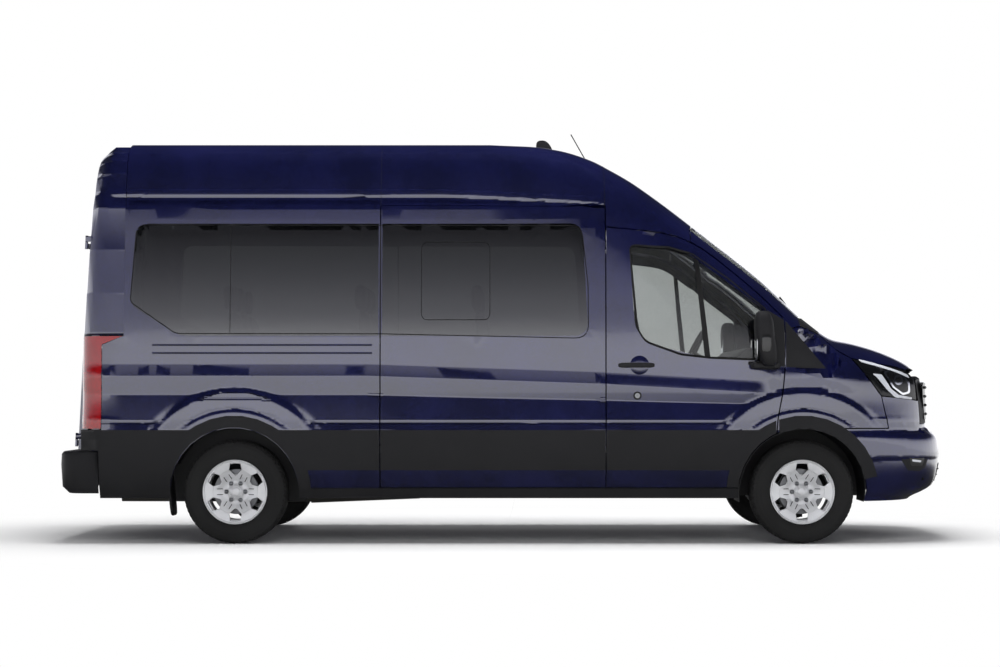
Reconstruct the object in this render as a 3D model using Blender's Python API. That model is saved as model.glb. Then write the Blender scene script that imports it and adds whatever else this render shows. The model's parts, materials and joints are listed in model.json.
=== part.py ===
"""High-roof minibus, built as separate panels, glass, trim, running gear and seats.

Metres, +Z up, +X towards the front. The origin is on the ground under the middle of the vehicle.
The outer skin is one smooth form, given by skin_y and skin_z, and every body panel is an outline
laid on that form and given its wall. Empties stand on the hinge lines of all that moves.
"""
import math

import bmesh
import bpy
import numpy as np
from mathutils import Matrix, Vector, geometry
from mathutils.bvhtree import BVHTree

# Driving dimensions
LENGTH = 5.98
HALF_WIDTH = 1.02
ROOF_Z = 2.70
WHEELBASE = 3.75
FRONT_OVERHANG = 1.023
HALF_TRACK = 0.87
WHEEL_RADIUS = 0.343
TYRE_WIDTH = 0.215

# Gaps: a shut line round what opens, a seam between fixed panels, and the room that two faces keep
SHUT_GAP = 0.008
SEAM = 0.0006
REST = 0.0003
PIN_PLAY = 0.0004
OVERRUN = 0.02
NUDGE = 0.002

# Walls
DOOR_WALL = 0.055
WALL = 0.045
ROOF_WALL = 0.035
SHEET = 0.006
EDGE_BACK = 0.001
PANE_PLAY = 0.0015
DOOR_LIP = 0.004
GLASS = 0.005
TRIM = 0.010

# Fixings behind the panels: tabs, bars and rails
TAB_HALF = 0.022
TAB_DEEP = 0.012
BAR_RADIUS = 0.012
CANT_RAIL_DEEP = 0.016
CANT_RAIL_HALF = 0.040
CANT_RAIL_SHORT = 0.400

# Places along the vehicle
FRONT_X = LENGTH / 2
REAR_X = -LENGTH / 2
FRONT_AXLE_X = FRONT_X - FRONT_OVERHANG
REAR_AXLE_X = FRONT_AXLE_X - WHEELBASE
HINGE_BEHIND_AXLE = 0.119
DOOR_FRONT_X = FRONT_AXLE_X - HINGE_BEHIND_AXLE
FRONT_DOOR_LENGTH = 1.180
B_LINE_X = DOOR_FRONT_X - FRONT_DOOR_LENGTH
SLIDING_DOOR_LENGTH = 1.490
C_LINE_X = B_LINE_X - SLIDING_DOOR_LENGTH
REAR_FACE_X = REAR_X + 0.185
CORNER_RADIUS = 0.13
REAR_LEAN = 0.05
LAMP_FRONT_X = REAR_FACE_X + 0.15
END_CAP_LENGTH = 0.29
D_LINE_X = REAR_FACE_X + END_CAP_LENGTH

# Heights
SILL_Z = 0.371
TRIM_BOTTOM_Z = 0.305
CLAD_BOTTOM_Z = 0.490
CLAD_TOP_Z = 0.753
LAMP_TOP_Z = 1.375
LAMP_BOTTOM_Z = 0.758
LAMP_DROP = 0.06
REAR_BUMPER_TOP_Z = 0.614
REAR_DOOR_BOTTOM_Z = 0.625
FENDER_TOP_Z = 1.405
LEDGE_BOTTOM_Z = 2.232
LEDGE_TOP_Z = 2.335
LEDGE_INSET = 0.024
FLOOR_Z = 0.600
FLOOR_THICK = 0.060
FLOOR_HALF = 0.880

# How far apart the points of a panel lie
SKIN_SPACING = 0.24
ROOF_SPACING = 0.34
PILLAR_SPACING = 0.15
LAMP_SPACING = 0.07

# Wheel arches
ARCH_RADIUS = 0.425
FLARE_RADIUS = 0.505
ARC_STEP = 12

# The roof falls to the windscreen and bonnet along this line, as shares of its length and drop
BEND_X = -0.10
NOSE_X = 2.90
NOSE_Z = 0.97
CENTRE_LINE_SHARES = (
    # along the fall, above the nose
    (0.000, 1.000), (0.090, 0.993), (0.150, 0.977), (0.227, 0.934), (0.273, 0.893), (0.320, 0.847),
    (0.365, 0.795), (0.412, 0.737), (0.468, 0.664), (0.601, 0.487), (0.737, 0.277), (0.778, 0.235),
    (0.824, 0.217), (0.870, 0.194), (0.916, 0.163), (0.944, 0.139), (0.957, 0.123), (0.971, 0.099),
    (0.985, 0.064), (1.000, 0.000),
)
SCREEN_TOP_SHARE = 0.468
SCREEN_BASE_SHARE = 0.722
BONNET_REAR_SHARE = 0.752

# Half width by height, as shares of the roof height and of the widest half width
DOOR_FOOT_BACK = 0.0566
DOOR_FOOT_X = DOOR_FRONT_X - DOOR_FOOT_BACK
SIDE_SHARES = (
    (0.000, 0.900), (0.110, 0.935), (0.140, 0.965), (0.180, 0.985), (0.230, 0.996), (0.280, 1.000),
    (0.304, 1.000), (0.312, 0.996), (0.366, 0.983), (0.410, 0.989), (0.440, 0.979), (0.465, 0.977),
    (0.507, 0.972), (0.600, 0.955), (0.740, 0.927), (0.830, 0.912), (0.900, 0.900), (1.000, 0.885),
)
# Roundness of a cross-section, and the height where it starts, along the vehicle
ROUNDNESS_SHARES = ((0.0, 6.0), (0.25, 5.6), (0.468, 4.6), (0.737, 3.4), (0.80, 3.6), (1.0, 4.2))
SHOULDER_Z = 1.20
BONNET_SHOULDER_Z = 0.90
# Front face in side view: height as a share of NOSE_Z, and reach short of FRONT_X as a share of the fall
FACE_SHARES = (
    (0.250, 0.080), (0.300, 0.064), (0.340, 0.036), (0.375, 0.018), (0.460, 0.005), (0.550, 0.000),
    (0.620, 0.001), (0.690, 0.004), (0.745, 0.014), (0.766, 0.030), (0.900, 0.030), (1.000, 0.031),
    (2.800, 0.031),
)
NOSE_START_X = 1.70
NOSE_ROUNDNESS = 3.6


def smooth_table(rows):
    """A curve through the rows of (place, value) that never overshoots: a monotone cubic."""
    place, value = (np.array(column, float) for column in zip(*rows))
    step = np.diff(place)
    slope = np.diff(value) / step
    inner = np.zeros(len(slope) - 1)
    same = slope[:-1] * slope[1:] > 0
    weight_a, weight_b = 2 * step[1:] + step[:-1], step[1:] + 2 * step[:-1]
    mean = weight_a[same] / slope[:-1][same] + weight_b[same] / slope[1:][same]
    inner[same] = (weight_a + weight_b)[same] / mean
    tangent = np.concatenate([[slope[0]], inner, [slope[-1]]])

    def curve(at):
        at = np.clip(np.asarray(at, float), place[0], place[-1])
        i = np.clip(np.searchsorted(place, at, side="right") - 1, 0, len(step) - 1)
        t = (at - place[i]) / step[i]
        near = value[i] * (1 + 2 * t) * (1 - t) ** 2 + tangent[i] * step[i] * t * (1 - t) ** 2
        far = value[i + 1] * t * t * (3 - 2 * t) + tangent[i + 1] * step[i] * t * t * (t - 1)
        return near + far

    return curve


centre_curve = smooth_table(CENTRE_LINE_SHARES)
side_curve = smooth_table(SIDE_SHARES)
round_curve = smooth_table(ROUNDNESS_SHARES)
face_curve = smooth_table(FACE_SHARES)


def fall_share(x):
    return np.clip((np.asarray(x, float) - BEND_X) / (NOSE_X - BEND_X), 0, 1)


def at_fall(share):
    return BEND_X + share * (NOSE_X - BEND_X)


def ease(t):
    t = np.clip(t, 0, 1)
    return t * t * (3 - 2 * t)


def roof_line(x):
    """Height of the skin on the centre line: roof, windscreen, bonnet and nose."""
    return NOSE_Z + centre_curve(fall_share(x)) * (ROOF_Z - NOSE_Z)


def shoulder_z(x):
    """Height where the cross-section starts to turn inwards."""
    share = ease((fall_share(x) - 0.60) / 0.25)
    return SHOULDER_Z + (BONNET_SHOULDER_Z - SHOULDER_Z) * share


def ledge_fade(x):
    """The roof's ledge runs out ahead of the doors."""
    return 1 - ease((np.asarray(x, float) - B_LINE_X + 0.25 * SLIDING_DOOR_LENGTH) / (0.42 * SLIDING_DOOR_LENGTH))


def side_profile(x, z):
    """Half width of the straight body at each height, with the roof set in above its ledge."""
    wide = side_curve(np.asarray(z, float) / ROOF_Z) * HALF_WIDTH
    above = ease((z - LEDGE_BOTTOM_Z) / (LEDGE_TOP_Z - LEDGE_BOTTOM_Z))
    return wide - LEDGE_INSET * above * ledge_fade(x)


def face_x(z):
    """The front face's reach at each height, on the centre line."""
    return FRONT_X - face_curve(np.asarray(z, float) / NOSE_Z) * (NOSE_X - BEND_X)


def nose_taper(x, z):
    """Share of the full half width, rounded in plan towards the nose."""
    along = np.clip((np.asarray(x, float) - NOSE_START_X) / (face_x(z) - NOSE_START_X), 0, 1)
    return (1 - along**NOSE_ROUNDNESS) ** (1 / NOSE_ROUNDNESS)


def skin_y(x, z):
    """Half width of the skin at a place along the vehicle and a height."""
    x, z = np.broadcast_arrays(np.asarray(x, float), np.asarray(z, float))
    power = round_curve(fall_share(x))
    low = shoulder_z(x)
    rise = np.clip((z - low) / (roof_line(x) - low), 0, 1)
    return side_profile(x, z) * nose_taper(x, z) * (1 - rise**power) ** (1 / power)


def skin_z(x, y):
    """Height of the skin's top at a place along the vehicle and a distance from the centre line."""
    x, y = np.broadcast_arrays(np.asarray(x, float), np.asarray(y, float))
    power = round_curve(fall_share(x))
    low, top = shoulder_z(x), roof_line(x)
    height = top.copy()
    for _ in range(3):
        wide = side_profile(x, height) * nose_taper(x, np.minimum(height, NOSE_Z))
        inside = np.clip(np.abs(y) / wide, 0, 1)
        height = low + (top - low) * (1 - inside**power) ** (1 / power)
    return height


def side_point(side, proud=0.0):
    """Skin chart of one side: (s, z) to a point. Behind the rear corner's start, s runs round the corner."""
    start = REAR_FACE_X + CORNER_RADIUS

    def point(s, z):
        turn = np.clip((start - s) / CORNER_RADIUS, 0, math.pi / 2)
        x = np.where(s < start, start - CORNER_RADIUS * np.sin(turn), s)
        inward = CORNER_RADIUS * (1 - np.cos(turn))
        return np.stack([x, side * (skin_y(x, z) - inward + proud), z], -1)

    return point


def top_point(x, y):
    return np.stack([x, y, skin_z(x, y)], -1)


def nose_point(turn, z, set_in=0.0):
    """Skin chart round the nose: turn runs from -90 degrees at the right to +90 at the left."""
    reach = face_x(z) - set_in - NOSE_START_X
    wide = side_profile(NOSE_START_X, z) - set_in
    power = 2 / NOSE_ROUNDNESS
    x = NOSE_START_X + reach * np.abs(np.cos(turn)) ** power
    y = np.sign(turn) * wide * np.abs(np.sin(turn)) ** power
    return np.stack([x, y, z + 0 * turn], -1)


def nose_turn(x, z):
    """The turn at which the nose chart reaches a place along the vehicle."""
    along = np.clip((x - NOSE_START_X) / (face_x(z) - NOSE_START_X), 0, 1)
    return math.pi / 2 - np.arcsin(along ** (NOSE_ROUNDNESS / 2))


# Outlines

def rounded(corners, steps=4):
    """A closed outline from corners (a, b, radius), each turned by an arc of that radius."""
    points = []
    for i, (a, b, radius) in enumerate(corners):
        here = np.array([a, b], float)
        before = np.array(corners[i - 1][:2], float) - here
        after = np.array(corners[(i + 1) % len(corners)][:2], float) - here
        if not radius:
            points.append(here)
            continue
        to_before, to_after = before / np.linalg.norm(before), after / np.linalg.norm(after)
        half = math.acos(np.clip(to_before @ to_after, -1, 1)) / 2
        most = min(np.linalg.norm(before), np.linalg.norm(after)) / 2
        cut = min(radius / math.tan(half), most)
        fitted = cut * math.tan(half)
        centre = here + (to_before + to_after) / np.linalg.norm(to_before + to_after) * fitted / math.sin(half)
        first, last = here + to_before * cut - centre, here + to_after * cut - centre
        sweep = math.atan2(first[0] * last[1] - first[1] * last[0], first @ last)
        for k in range(steps + 1):
            angle = sweep * k / steps
            turned = (
                first[0] * math.cos(angle) - first[1] * math.sin(angle),
                first[0] * math.sin(angle) + first[1] * math.cos(angle),
            )
            points.append(centre + turned)
    return np.array(points)


def arc(centre, radius, start_deg, end_deg):
    """An arc whose middle places keep to whole steps, so that arcs round one centre run side by side."""
    low, high = sorted((start_deg, end_deg))
    steps = [k * ARC_STEP for k in range(math.ceil(low / ARC_STEP), math.floor(high / ARC_STEP) + 1)]
    angles = [low] + [a for a in steps if low + ARC_STEP / 4 < a < high - ARC_STEP / 4] + [high]
    angles = np.radians(angles if start_deg < end_deg else angles[::-1])
    return np.stack([centre[0] + radius * np.cos(angles), centre[1] + radius * np.sin(angles)], -1)


def divided(loop, longest):
    """The outline with its long sides divided, so that it can follow a curved skin."""
    points = []
    for here, there in zip(loop, np.roll(loop, -1, axis=0)):
        pieces = max(1, math.ceil(np.linalg.norm(there - here) / longest))
        points += [here + (there - here) * k / pieces for k in range(pieces)]
    return np.array(points)


def shrunk(loop, by):
    """The outline moved inwards by a distance."""
    before, after = loop - np.roll(loop, 1, axis=0), np.roll(loop, -1, axis=0) - loop
    area = np.sum(loop[:, 0] * np.roll(loop[:, 1], -1) - np.roll(loop[:, 0], -1) * loop[:, 1])
    before /= np.maximum(np.linalg.norm(before, axis=1), SEAM * SEAM)[:, None]
    after /= np.maximum(np.linalg.norm(after, axis=1), SEAM * SEAM)[:, None]
    inward = np.stack([-(before + after)[:, 1], (before + after)[:, 0]], -1) * np.sign(area)
    length = np.linalg.norm(inward, axis=1)
    return loop + inward / length[:, None] * by * 2 / np.maximum(length, 1)[:, None]


def inside(points, loop):
    """Which points lie inside a closed outline, by the even and odd rule."""
    x, y = points[:, 0, None], points[:, 1, None]
    x0, y0 = loop[:, 0], loop[:, 1]
    x1, y1 = np.roll(x0, -1), np.roll(y0, -1)
    crosses = (y0 > y) != (y1 > y)
    rise = np.where(y1 == y0, 1, y1 - y0)
    return (crosses & (x < x0 + (y - y0) * (x1 - x0) / rise)).sum(1) % 2 == 1


def clear_of(points, loop, distance):
    """Which points keep a distance from an outline's sides."""
    here, there = loop, np.roll(loop, -1, axis=0)
    side = there - here
    along = ((points[:, None] - here) * side).sum(2) / np.maximum((side**2).sum(1), SEAM * SEAM)
    nearest = here + np.clip(along, 0, 1)[..., None] * side
    return (np.linalg.norm(points[:, None] - nearest, axis=2) > distance).all(1)


# Meshes

def inward_normals(points, normals):
    """Unit normals turned to face the vehicle's middle line."""
    middle = points.copy()
    middle[:, 1] = 0
    middle[:, 0] = np.clip(points[:, 0], REAR_AXLE_X, FRONT_AXLE_X)
    middle[:, 2] = NOSE_Z
    normals = normals / np.maximum(np.linalg.norm(normals, axis=1), SEAM * SEAM)[:, None]
    return normals * np.sign(((middle - points) * normals).sum(1).mean())


def behind_skin(chart, places, depth):
    """Points at a depth behind the skin, measured square to it."""
    a, b = places[:, 0], places[:, 1]
    lean_a = chart(a + NUDGE, b) - chart(a - NUDGE, b)
    lean_b = chart(a, b + NUDGE) - chart(a, b - NUDGE)
    points = chart(a, b)
    return points + inward_normals(points, np.cross(lean_a, lean_b)) * depth


def panel_mesh(loop, holes, chart, wall, spacing, lip=0.0, depth=0.0, levels=None):
    """A wall that follows the chart: the outline less its holes, with its inner face set in by the lip.

    The outer face lies at a depth behind the skin. Levels are the heights that rows of points keep to.
    """
    loops = [divided(edge, spacing) for edge in [loop, *holes]]
    low, high = loops[0].min(0), loops[0].max(0)
    a, b = (np.arange(low[i] + spacing / 2, high[i], spacing) for i in range(2))
    if levels is not None:
        b = np.array(levels)
    grid = np.stack(np.meshgrid(a, b), -1).reshape(-1, 2)
    keep = inside(grid, loops[0]) & clear_of(grid, loops[0], spacing / 3)
    for hole in loops[1:]:
        keep &= ~inside(grid, hole) & clear_of(grid, hole, spacing / 3)
    flat = np.concatenate([*loops, grid[keep]])
    edges, start = [], 0
    for edge in loops:
        count = len(edge)
        edges += [(start + i, start + (i + 1) % count) for i in range(count)]
        start += count
    done = geometry.delaunay_2d_cdt([Vector(p) for p in flat], edges, [], 0, SEAM / 10)
    flat = np.array([tuple(p) for p in done[0]])
    triangles = np.array([face for face in done[2] if len(face) == 3])
    middles = flat[triangles].mean(1)
    keep = inside(middles, loops[0])
    for hole in loops[1:]:
        keep &= ~inside(middles, hole)
    triangles = triangles[keep]
    count = len(flat)
    set_in = flat.copy()
    if lip:
        for k, edge in enumerate(loops):
            moved = shrunk(edge, lip if k == 0 else -lip)
            near = np.linalg.norm(flat[:, None] - edge, axis=2)
            on = near.min(1) < SEAM / 2
            set_in[on] = moved[near.argmin(1)[on]]
    outer = behind_skin(chart, flat, depth)
    inner = behind_skin(chart, set_in, depth + wall)
    ends = np.concatenate([triangles[:, [0, 1]], triangles[:, [1, 2]], triangles[:, [2, 0]]])
    known = {tuple(e) for e in ends}
    rim = [e for e in known if e[::-1] not in known]
    faces = [tuple(t) for t in triangles] + [tuple(t[::-1] + count) for t in triangles]
    faces += [(b, a, a + count, b + count) for a, b in rim]
    return np.concatenate([outer, inner]), faces


def revolved(profile, segments, centre):
    """A profile of (radius, y) turned about the Y axis through centre. Radius 0 makes a pole."""
    verts, rings = [], []
    for radius, y in profile:
        if radius == 0:
            rings.append([len(verts)] * segments)
            verts.append((centre[0], centre[1] + y, centre[2]))
            continue
        rings.append(list(range(len(verts), len(verts) + segments)))
        for k in range(segments):
            angle = 2 * math.pi * k / segments
            verts.append((centre[0] + radius * math.cos(angle), centre[1] + y, centre[2] + radius * math.sin(angle)))
    closed = profile[0][0] != 0
    pairs = zip(rings, rings[1:] + rings[:1]) if closed else zip(rings, rings[1:])
    faces = []
    for here, there in pairs:
        for k in range(segments):
            n = (k + 1) % segments
            face = list(dict.fromkeys([here[k], here[n], there[n], there[k]]))
            faces.append(tuple(face))
    return np.array(verts), faces


def extruded(loop, low, high, axis="Y"):
    """A flat outline carried from low to high along Y (outline in X, Z), X (Y, Z) or Z (X, Y)."""
    count = len(loop)
    ends = []
    for level in (low, high):
        column = np.full(count, float(level))
        order = {"Y": (loop[:, 0], column, loop[:, 1]), "X": (column, loop[:, 0], loop[:, 1]),
                 "Z": (loop[:, 0], loop[:, 1], column)}[axis]
        ends.append(np.stack(order, -1))
    faces = [tuple(range(count)), tuple(range(2 * count - 1, count - 1, -1))]
    faces += [((i + 1) % count, i, i + count, (i + 1) % count + count) for i in range(count)]
    return np.concatenate(ends), faces


def block(low, high):
    """A plain block between two corners."""
    loop = np.array([(low[0], low[2]), (high[0], low[2]), (high[0], high[2]), (low[0], high[2])])
    return extruded(loop, low[1], high[1])


def rod(start, end, radius, sides=8):
    """A round bar between two points."""
    start, end = Vector(start), Vector(end)
    turn = (end - start).to_track_quat("Z", "Y")
    verts = []
    for at in (start, end):
        for k in range(sides):
            angle = 2 * math.pi * k / sides
            verts.append(at + turn @ Vector((radius * math.cos(angle), radius * math.sin(angle), 0)))
    faces = [tuple(range(sides)), tuple(range(2 * sides - 1, sides - 1, -1))]
    faces += [((i + 1) % sides, i, i + sides, (i + 1) % sides + sides) for i in range(sides)]
    return np.array([tuple(v) for v in verts]), faces


# Scene objects

for old in list(bpy.data.objects):
    bpy.data.objects.remove(old)

MATERIALS = {}
SKINS = {}
BODIES = {}
BODY_OF = {}


def material(name, colour, roughness, metallic=0.0, alpha=1.0):
    made = bpy.data.materials.new(name)
    made.use_nodes = True
    shader = made.node_tree.nodes["Principled BSDF"]
    shader.inputs["Base Color"].default_value = (*colour, 1)
    shader.inputs["Roughness"].default_value = roughness
    shader.inputs["Metallic"].default_value = metallic
    shader.inputs["Alpha"].default_value = alpha
    MATERIALS[name] = made


material("paint", (0.020, 0.022, 0.090), 0.25, 0.3)
material("black_plastic", (0.020, 0.020, 0.021), 0.6)
material("dark_glass", (0.030, 0.030, 0.030), 0.08, alpha=0.75)
material("clear_glass", (0.10, 0.11, 0.11), 0.05, alpha=0.45)
material("lamp_lens", (0.75, 0.77, 0.78), 0.1, alpha=0.8)
material("red_lens", (0.45, 0.03, 0.03), 0.15)
material("rubber", (0.018, 0.018, 0.019), 0.8)
material("alloy", (0.62, 0.63, 0.65), 0.3, 0.9)
material("iron", (0.045, 0.045, 0.048), 0.55, 0.6)
material("cloth", (0.045, 0.046, 0.055), 0.9)


def body(name, pivot=None, parent=None):
    """An empty that a moving group hangs from, standing on its joint's axis."""
    empty = bpy.data.objects.new("body_" + name, None)
    bpy.context.scene.collection.objects.link(empty)
    if parent:
        empty.parent = BODIES[parent]
        empty.location = Vector(pivot) - BODIES[parent].matrix_world.translation
    elif pivot:
        empty.location = pivot
    bpy.context.view_layer.update()
    BODIES[name] = empty


def mesh_object(name, mesh):
    """A mesh object in world space with its faces turned out."""
    data = bpy.data.meshes.new(name)
    data.from_pydata([tuple(v) for v in mesh[0]], [], [tuple(int(i) for i in f) for f in mesh[1]])
    shape = bmesh.new()
    shape.from_mesh(data)
    bmesh.ops.remove_doubles(shape, verts=shape.verts, dist=REST / 10)
    bmesh.ops.recalc_face_normals(shape, faces=shape.faces)
    shape.to_mesh(data)
    shape.free()
    made = bpy.data.objects.new(name, data)
    bpy.context.scene.collection.objects.link(made)
    return made


def combine(target, tools, operation):
    """Joins or cuts the target with other meshes and keeps the result as its mesh."""
    helpers = [mesh_object("tool", tool) for tool in tools]
    for helper in helpers:
        change = target.modifiers.new("change", "BOOLEAN")
        change.object = helper
        change.operation = operation
        change.solver = "EXACT"
    bpy.context.view_layer.update()
    graph = bpy.context.evaluated_depsgraph_get()
    result = bpy.data.meshes.new_from_object(target.evaluated_get(graph))
    target.modifiers.clear()
    target.data = result
    for helper in helpers:
        bpy.data.objects.remove(helper)


def moved(mesh, by):
    return mesh[0] + np.array(by, float), mesh[1]


def seat_for(names, *ways):
    """Copies of the pieces moved by the rest gap towards what is to lie on them, to cut it clear of them."""
    return [moved(SKINS[name], REST * np.array(way, float)) for name in names for way in ways]


def cladding_ways(side):
    """Outwards, and off every edge."""
    return (1, side, -1), (-1, side, 1), (-1, side, -1)


def reach(name, start, way):
    """Where a line from a place first meets a piece."""
    mesh = SKINS[name]
    tree = BVHTree.FromPolygons([tuple(v) for v in mesh[0]], [tuple(int(i) for i in f) for f in mesh[1]])
    return np.array(tree.ray_cast(Vector(start), Vector(way))[0])


def tab(chart, place, wall, axis):
    """A fixing tab on the inner face of a wall: it is joined to one panel and reaches behind its neighbour."""
    middle = behind_skin(chart, np.array([place], float), wall)[0]
    half = np.where(np.arange(3) == axis, TAB_DEEP, TAB_HALF)
    return block(middle - half, middle + half)


def bar(chart, start, end, depth):
    """A round bar behind the skin between two places, under the seam of two panels."""
    return rod(*behind_skin(chart, np.array([start, end], float), depth), BAR_RADIUS)


def spread(side, near, far):
    """Two distances from the centre line as a low and a high y on one side of it."""
    return sorted((side * near, side * far))


def part(name, mesh, finish, body_name="root", joined=(), cut=()):
    """One named sub-part: its mesh, what is joined to it and cut from it, its finish and its body."""
    SKINS[name] = mesh
    made = mesh_object(name, mesh)
    if len(joined):
        combine(made, joined, "UNION")
    if len(cut):
        combine(made, cut, "DIFFERENCE")
    holder = BODIES[body_name]
    made.data.transform(Matrix.Translation(-holder.matrix_world.translation))
    made.parent = holder
    made.data.materials.clear()
    made.data.materials.append(MATERIALS[finish])
    made.data.shade_smooth()
    made.data.set_sharp_from_angle(angle=math.radians(35))
    BODY_OF.setdefault(body_name, []).append(name)
    return made


SIDES = (("right", -1), ("left", 1))
body("root")

# Wheel arches in side view
ARCH_CENTRES = {"front": (FRONT_AXLE_X, WHEEL_RADIUS), "rear": (REAR_AXLE_X, WHEEL_RADIUS)}


def arch_cut(where, radius, low_z):
    """The angle, in degrees, at which an arch of this radius meets a height below its axle's."""
    return math.degrees(math.asin((low_z - ARCH_CENTRES[where][1]) / radius))


# Front doors
DOOR_TOP_SHARES = (
    # back from the door's front edge, of the slant's length, and above the sill, of the door's height
    (1.298, 1.000), (1.000, 0.985), (0.785, 0.967), (0.617, 0.931), (0.389, 0.843), (0.162, 0.739),
    (0.000, 0.652),
)
DOOR_TOP_COUNT = 15
DOOR_TOP_BELOW_LEDGE = 0.144
DOOR_HEIGHT = LEDGE_BOTTOM_Z - DOOR_TOP_BELOW_LEDGE - SILL_Z
DOOR_SLANT_LENGTH = 0.909
DOOR_FRONT_SHARES = ((0.000, 0.457), (0.010, 0.382), (0.040, 0.270))
DOOR_GLASS_SHARES = (
    # the same shares, with the corner's radius as a share of the door's length
    (0.870, 0.938, 0.035), (0.560, 0.918, 0.25), (0.112, 0.690, 0.03), (0.100, 0.487, 0.05),
    (0.450, 0.502, 0.25), (0.770, 0.556, 0.15), (0.838, 0.620, 0.10),
)


def door_place(along_share, height_share):
    return DOOR_FRONT_X - along_share * FRONT_DOOR_LENGTH, SILL_Z + height_share * DOOR_HEIGHT


door_top_curve = smooth_table(DOOR_TOP_SHARES[::-1])


def door_top_places(start, end, count):
    """Places (x, z) along the front door's top edge and down its slant."""
    x = np.linspace(start, end, count)
    return np.stack([x, SILL_Z + DOOR_HEIGHT * door_top_curve((DOOR_FRONT_X - x) / DOOR_SLANT_LENGTH)], -1)


def door_foot_angle(radius, back):
    """The angle at which the door's front edge meets a circle round the front wheel."""
    return math.degrees(math.acos((DOOR_FOOT_X - back - FRONT_AXLE_X) / radius))


def front_door_outline(gap):
    """Rear edge, top edge along the roof and pillar, hinge edge, wheel arch and sill."""
    top = door_top_places(B_LINE_X, DOOR_FRONT_X, DOOR_TOP_COUNT)
    front = [door_place(a, h) for a, h in DOOR_FRONT_SHARES]
    low = 180 - arch_cut("front", ARCH_RADIUS, SILL_Z)
    wheel = arc(ARCH_CENTRES["front"], ARCH_RADIUS, door_foot_angle(ARCH_RADIUS, 0), low)
    loop = [(B_LINE_X, SILL_Z), *top, *front, *wheel]
    return shrunk(np.array(loop), gap)


def door_glass_outline():
    return rounded([(*door_place(a, h), r * FRONT_DOOR_LENGTH) for a, h, r in DOOR_GLASS_SHARES])


# Side windows: one dark band whose panes meet at the door's rear edge
BAND_REAR_X = D_LINE_X + 0.038
BAND_FRONT_X = B_LINE_X - 0.115
BAND_BOTTOM_Z = 1.375
BAND_TOP_Z = 2.112
BAND_CORNER = 0.08
BAND_SWEEP = 0.33
BAND_CHIN = 0.21
BAND_LEAN = 0.04


def band_outline(rear_x, front_x, rear_shaped, front_shaped):
    """A stretch of the window band. The band's rear end has its swept lower corner, its front end leans."""
    corners = []
    if rear_shaped:
        corners += [(rear_x + BAND_LEAN, BAND_TOP_Z, BAND_CORNER)]
    else:
        corners += [(rear_x, BAND_TOP_Z, 0)]
    if front_shaped:
        corners += [(front_x - BAND_LEAN, BAND_TOP_Z, BAND_CORNER), (front_x, BAND_BOTTOM_Z, BAND_CORNER)]
    else:
        corners += [(front_x, BAND_TOP_Z, 0), (front_x, BAND_BOTTOM_Z, 0)]
    if rear_shaped:
        corners += [(rear_x + BAND_SWEEP, BAND_BOTTOM_Z, 2 * BAND_CORNER)]
        corners += [(rear_x, BAND_BOTTOM_Z + BAND_CHIN, BAND_CORNER)]
    else:
        corners += [(rear_x, BAND_BOTTOM_Z, 0)]
    return rounded(corners)




def front_doors():
    """Each front door with its glass, lower moulding and mirror, on one body."""
    for hand, side in SIDES:
        name = "front_door_" + hand
        pivot_y = skin_y(DOOR_FRONT_X, CLAD_TOP_Z) - SHUT_GAP / 2
        pivot = (DOOR_FRONT_X - SHUT_GAP, side * pivot_y, CLAD_TOP_Z)
        body(name, pivot)
        outline = front_door_outline(SHUT_GAP / 2)
        glass = door_glass_outline()
        chart = side_point(side)
        part(name, panel_mesh(outline, [glass], chart, DOOR_WALL, SKIN_SPACING, DOOR_LIP), "paint", name)
        pane = shrunk(glass, PANE_PLAY)
        part(f"front_door_glass_{hand}", panel_mesh(pane, [], chart, GLASS, SKIN_SPACING, depth=TRIM),
             "clear_glass", name)
        cladding(f"front_door_moulding_{hand}", door_moulding_outline(), side, [name], name)
        mirror(hand, side, name)


def cladding(name, loop, side, on, body_name="root"):
    """A black moulding that stands proud of the skin, with its inner face cut to the panels it lies on."""
    plate = panel_mesh(loop, [], side_point(side), TRIM + SHEET, SKIN_SPACING, depth=-TRIM)
    part(name, plate, "black_plastic", body_name, cut=seat_for(on, *cladding_ways(side)))


def door_moulding_outline():
    """The door's part of the black band, running up into the wheel arch's flare."""
    centre = ARCH_CENTRES["front"]
    gap = SHUT_GAP / 2 + EDGE_BACK
    top_angle = door_foot_angle(FLARE_RADIUS, gap)
    outer = arc(centre, FLARE_RADIUS, top_angle, 180 - arch_cut("front", FLARE_RADIUS, CLAD_TOP_Z))
    inner_low = 180 - arch_cut("front", ARCH_RADIUS + gap, SILL_Z + gap)
    inner = arc(centre, ARCH_RADIUS + gap, inner_low, door_foot_angle(ARCH_RADIUS + gap, gap))
    flare_low = 180 - arch_cut("front", FLARE_RADIUS, SILL_Z + gap)
    flare_clad = 180 - arch_cut("front", FLARE_RADIUS, CLAD_BOTTOM_Z)
    flare = arc(centre, FLARE_RADIUS, flare_clad, flare_low)
    rear = B_LINE_X + gap
    loop = [*outer, (rear, CLAD_TOP_Z), (rear, CLAD_BOTTOM_Z), *flare, *inner]
    return np.array(loop)


# Door mirror
MIRROR_ARM_X = DOOR_FRONT_X - 0.155
MIRROR_ARM_Z = 1.172
MIRROR_BOTTOM_Z = 1.185
MIRROR_TOP_Z = 1.535
MIRROR_IN_Y = 1.050
MIRROR_OUT_Y = 1.235
MIRROR_DEPTH = 0.105
MIRROR_CORNER = 0.035
MIRROR_ARM = 0.026
MIRROR_FOOT = 0.150


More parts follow.
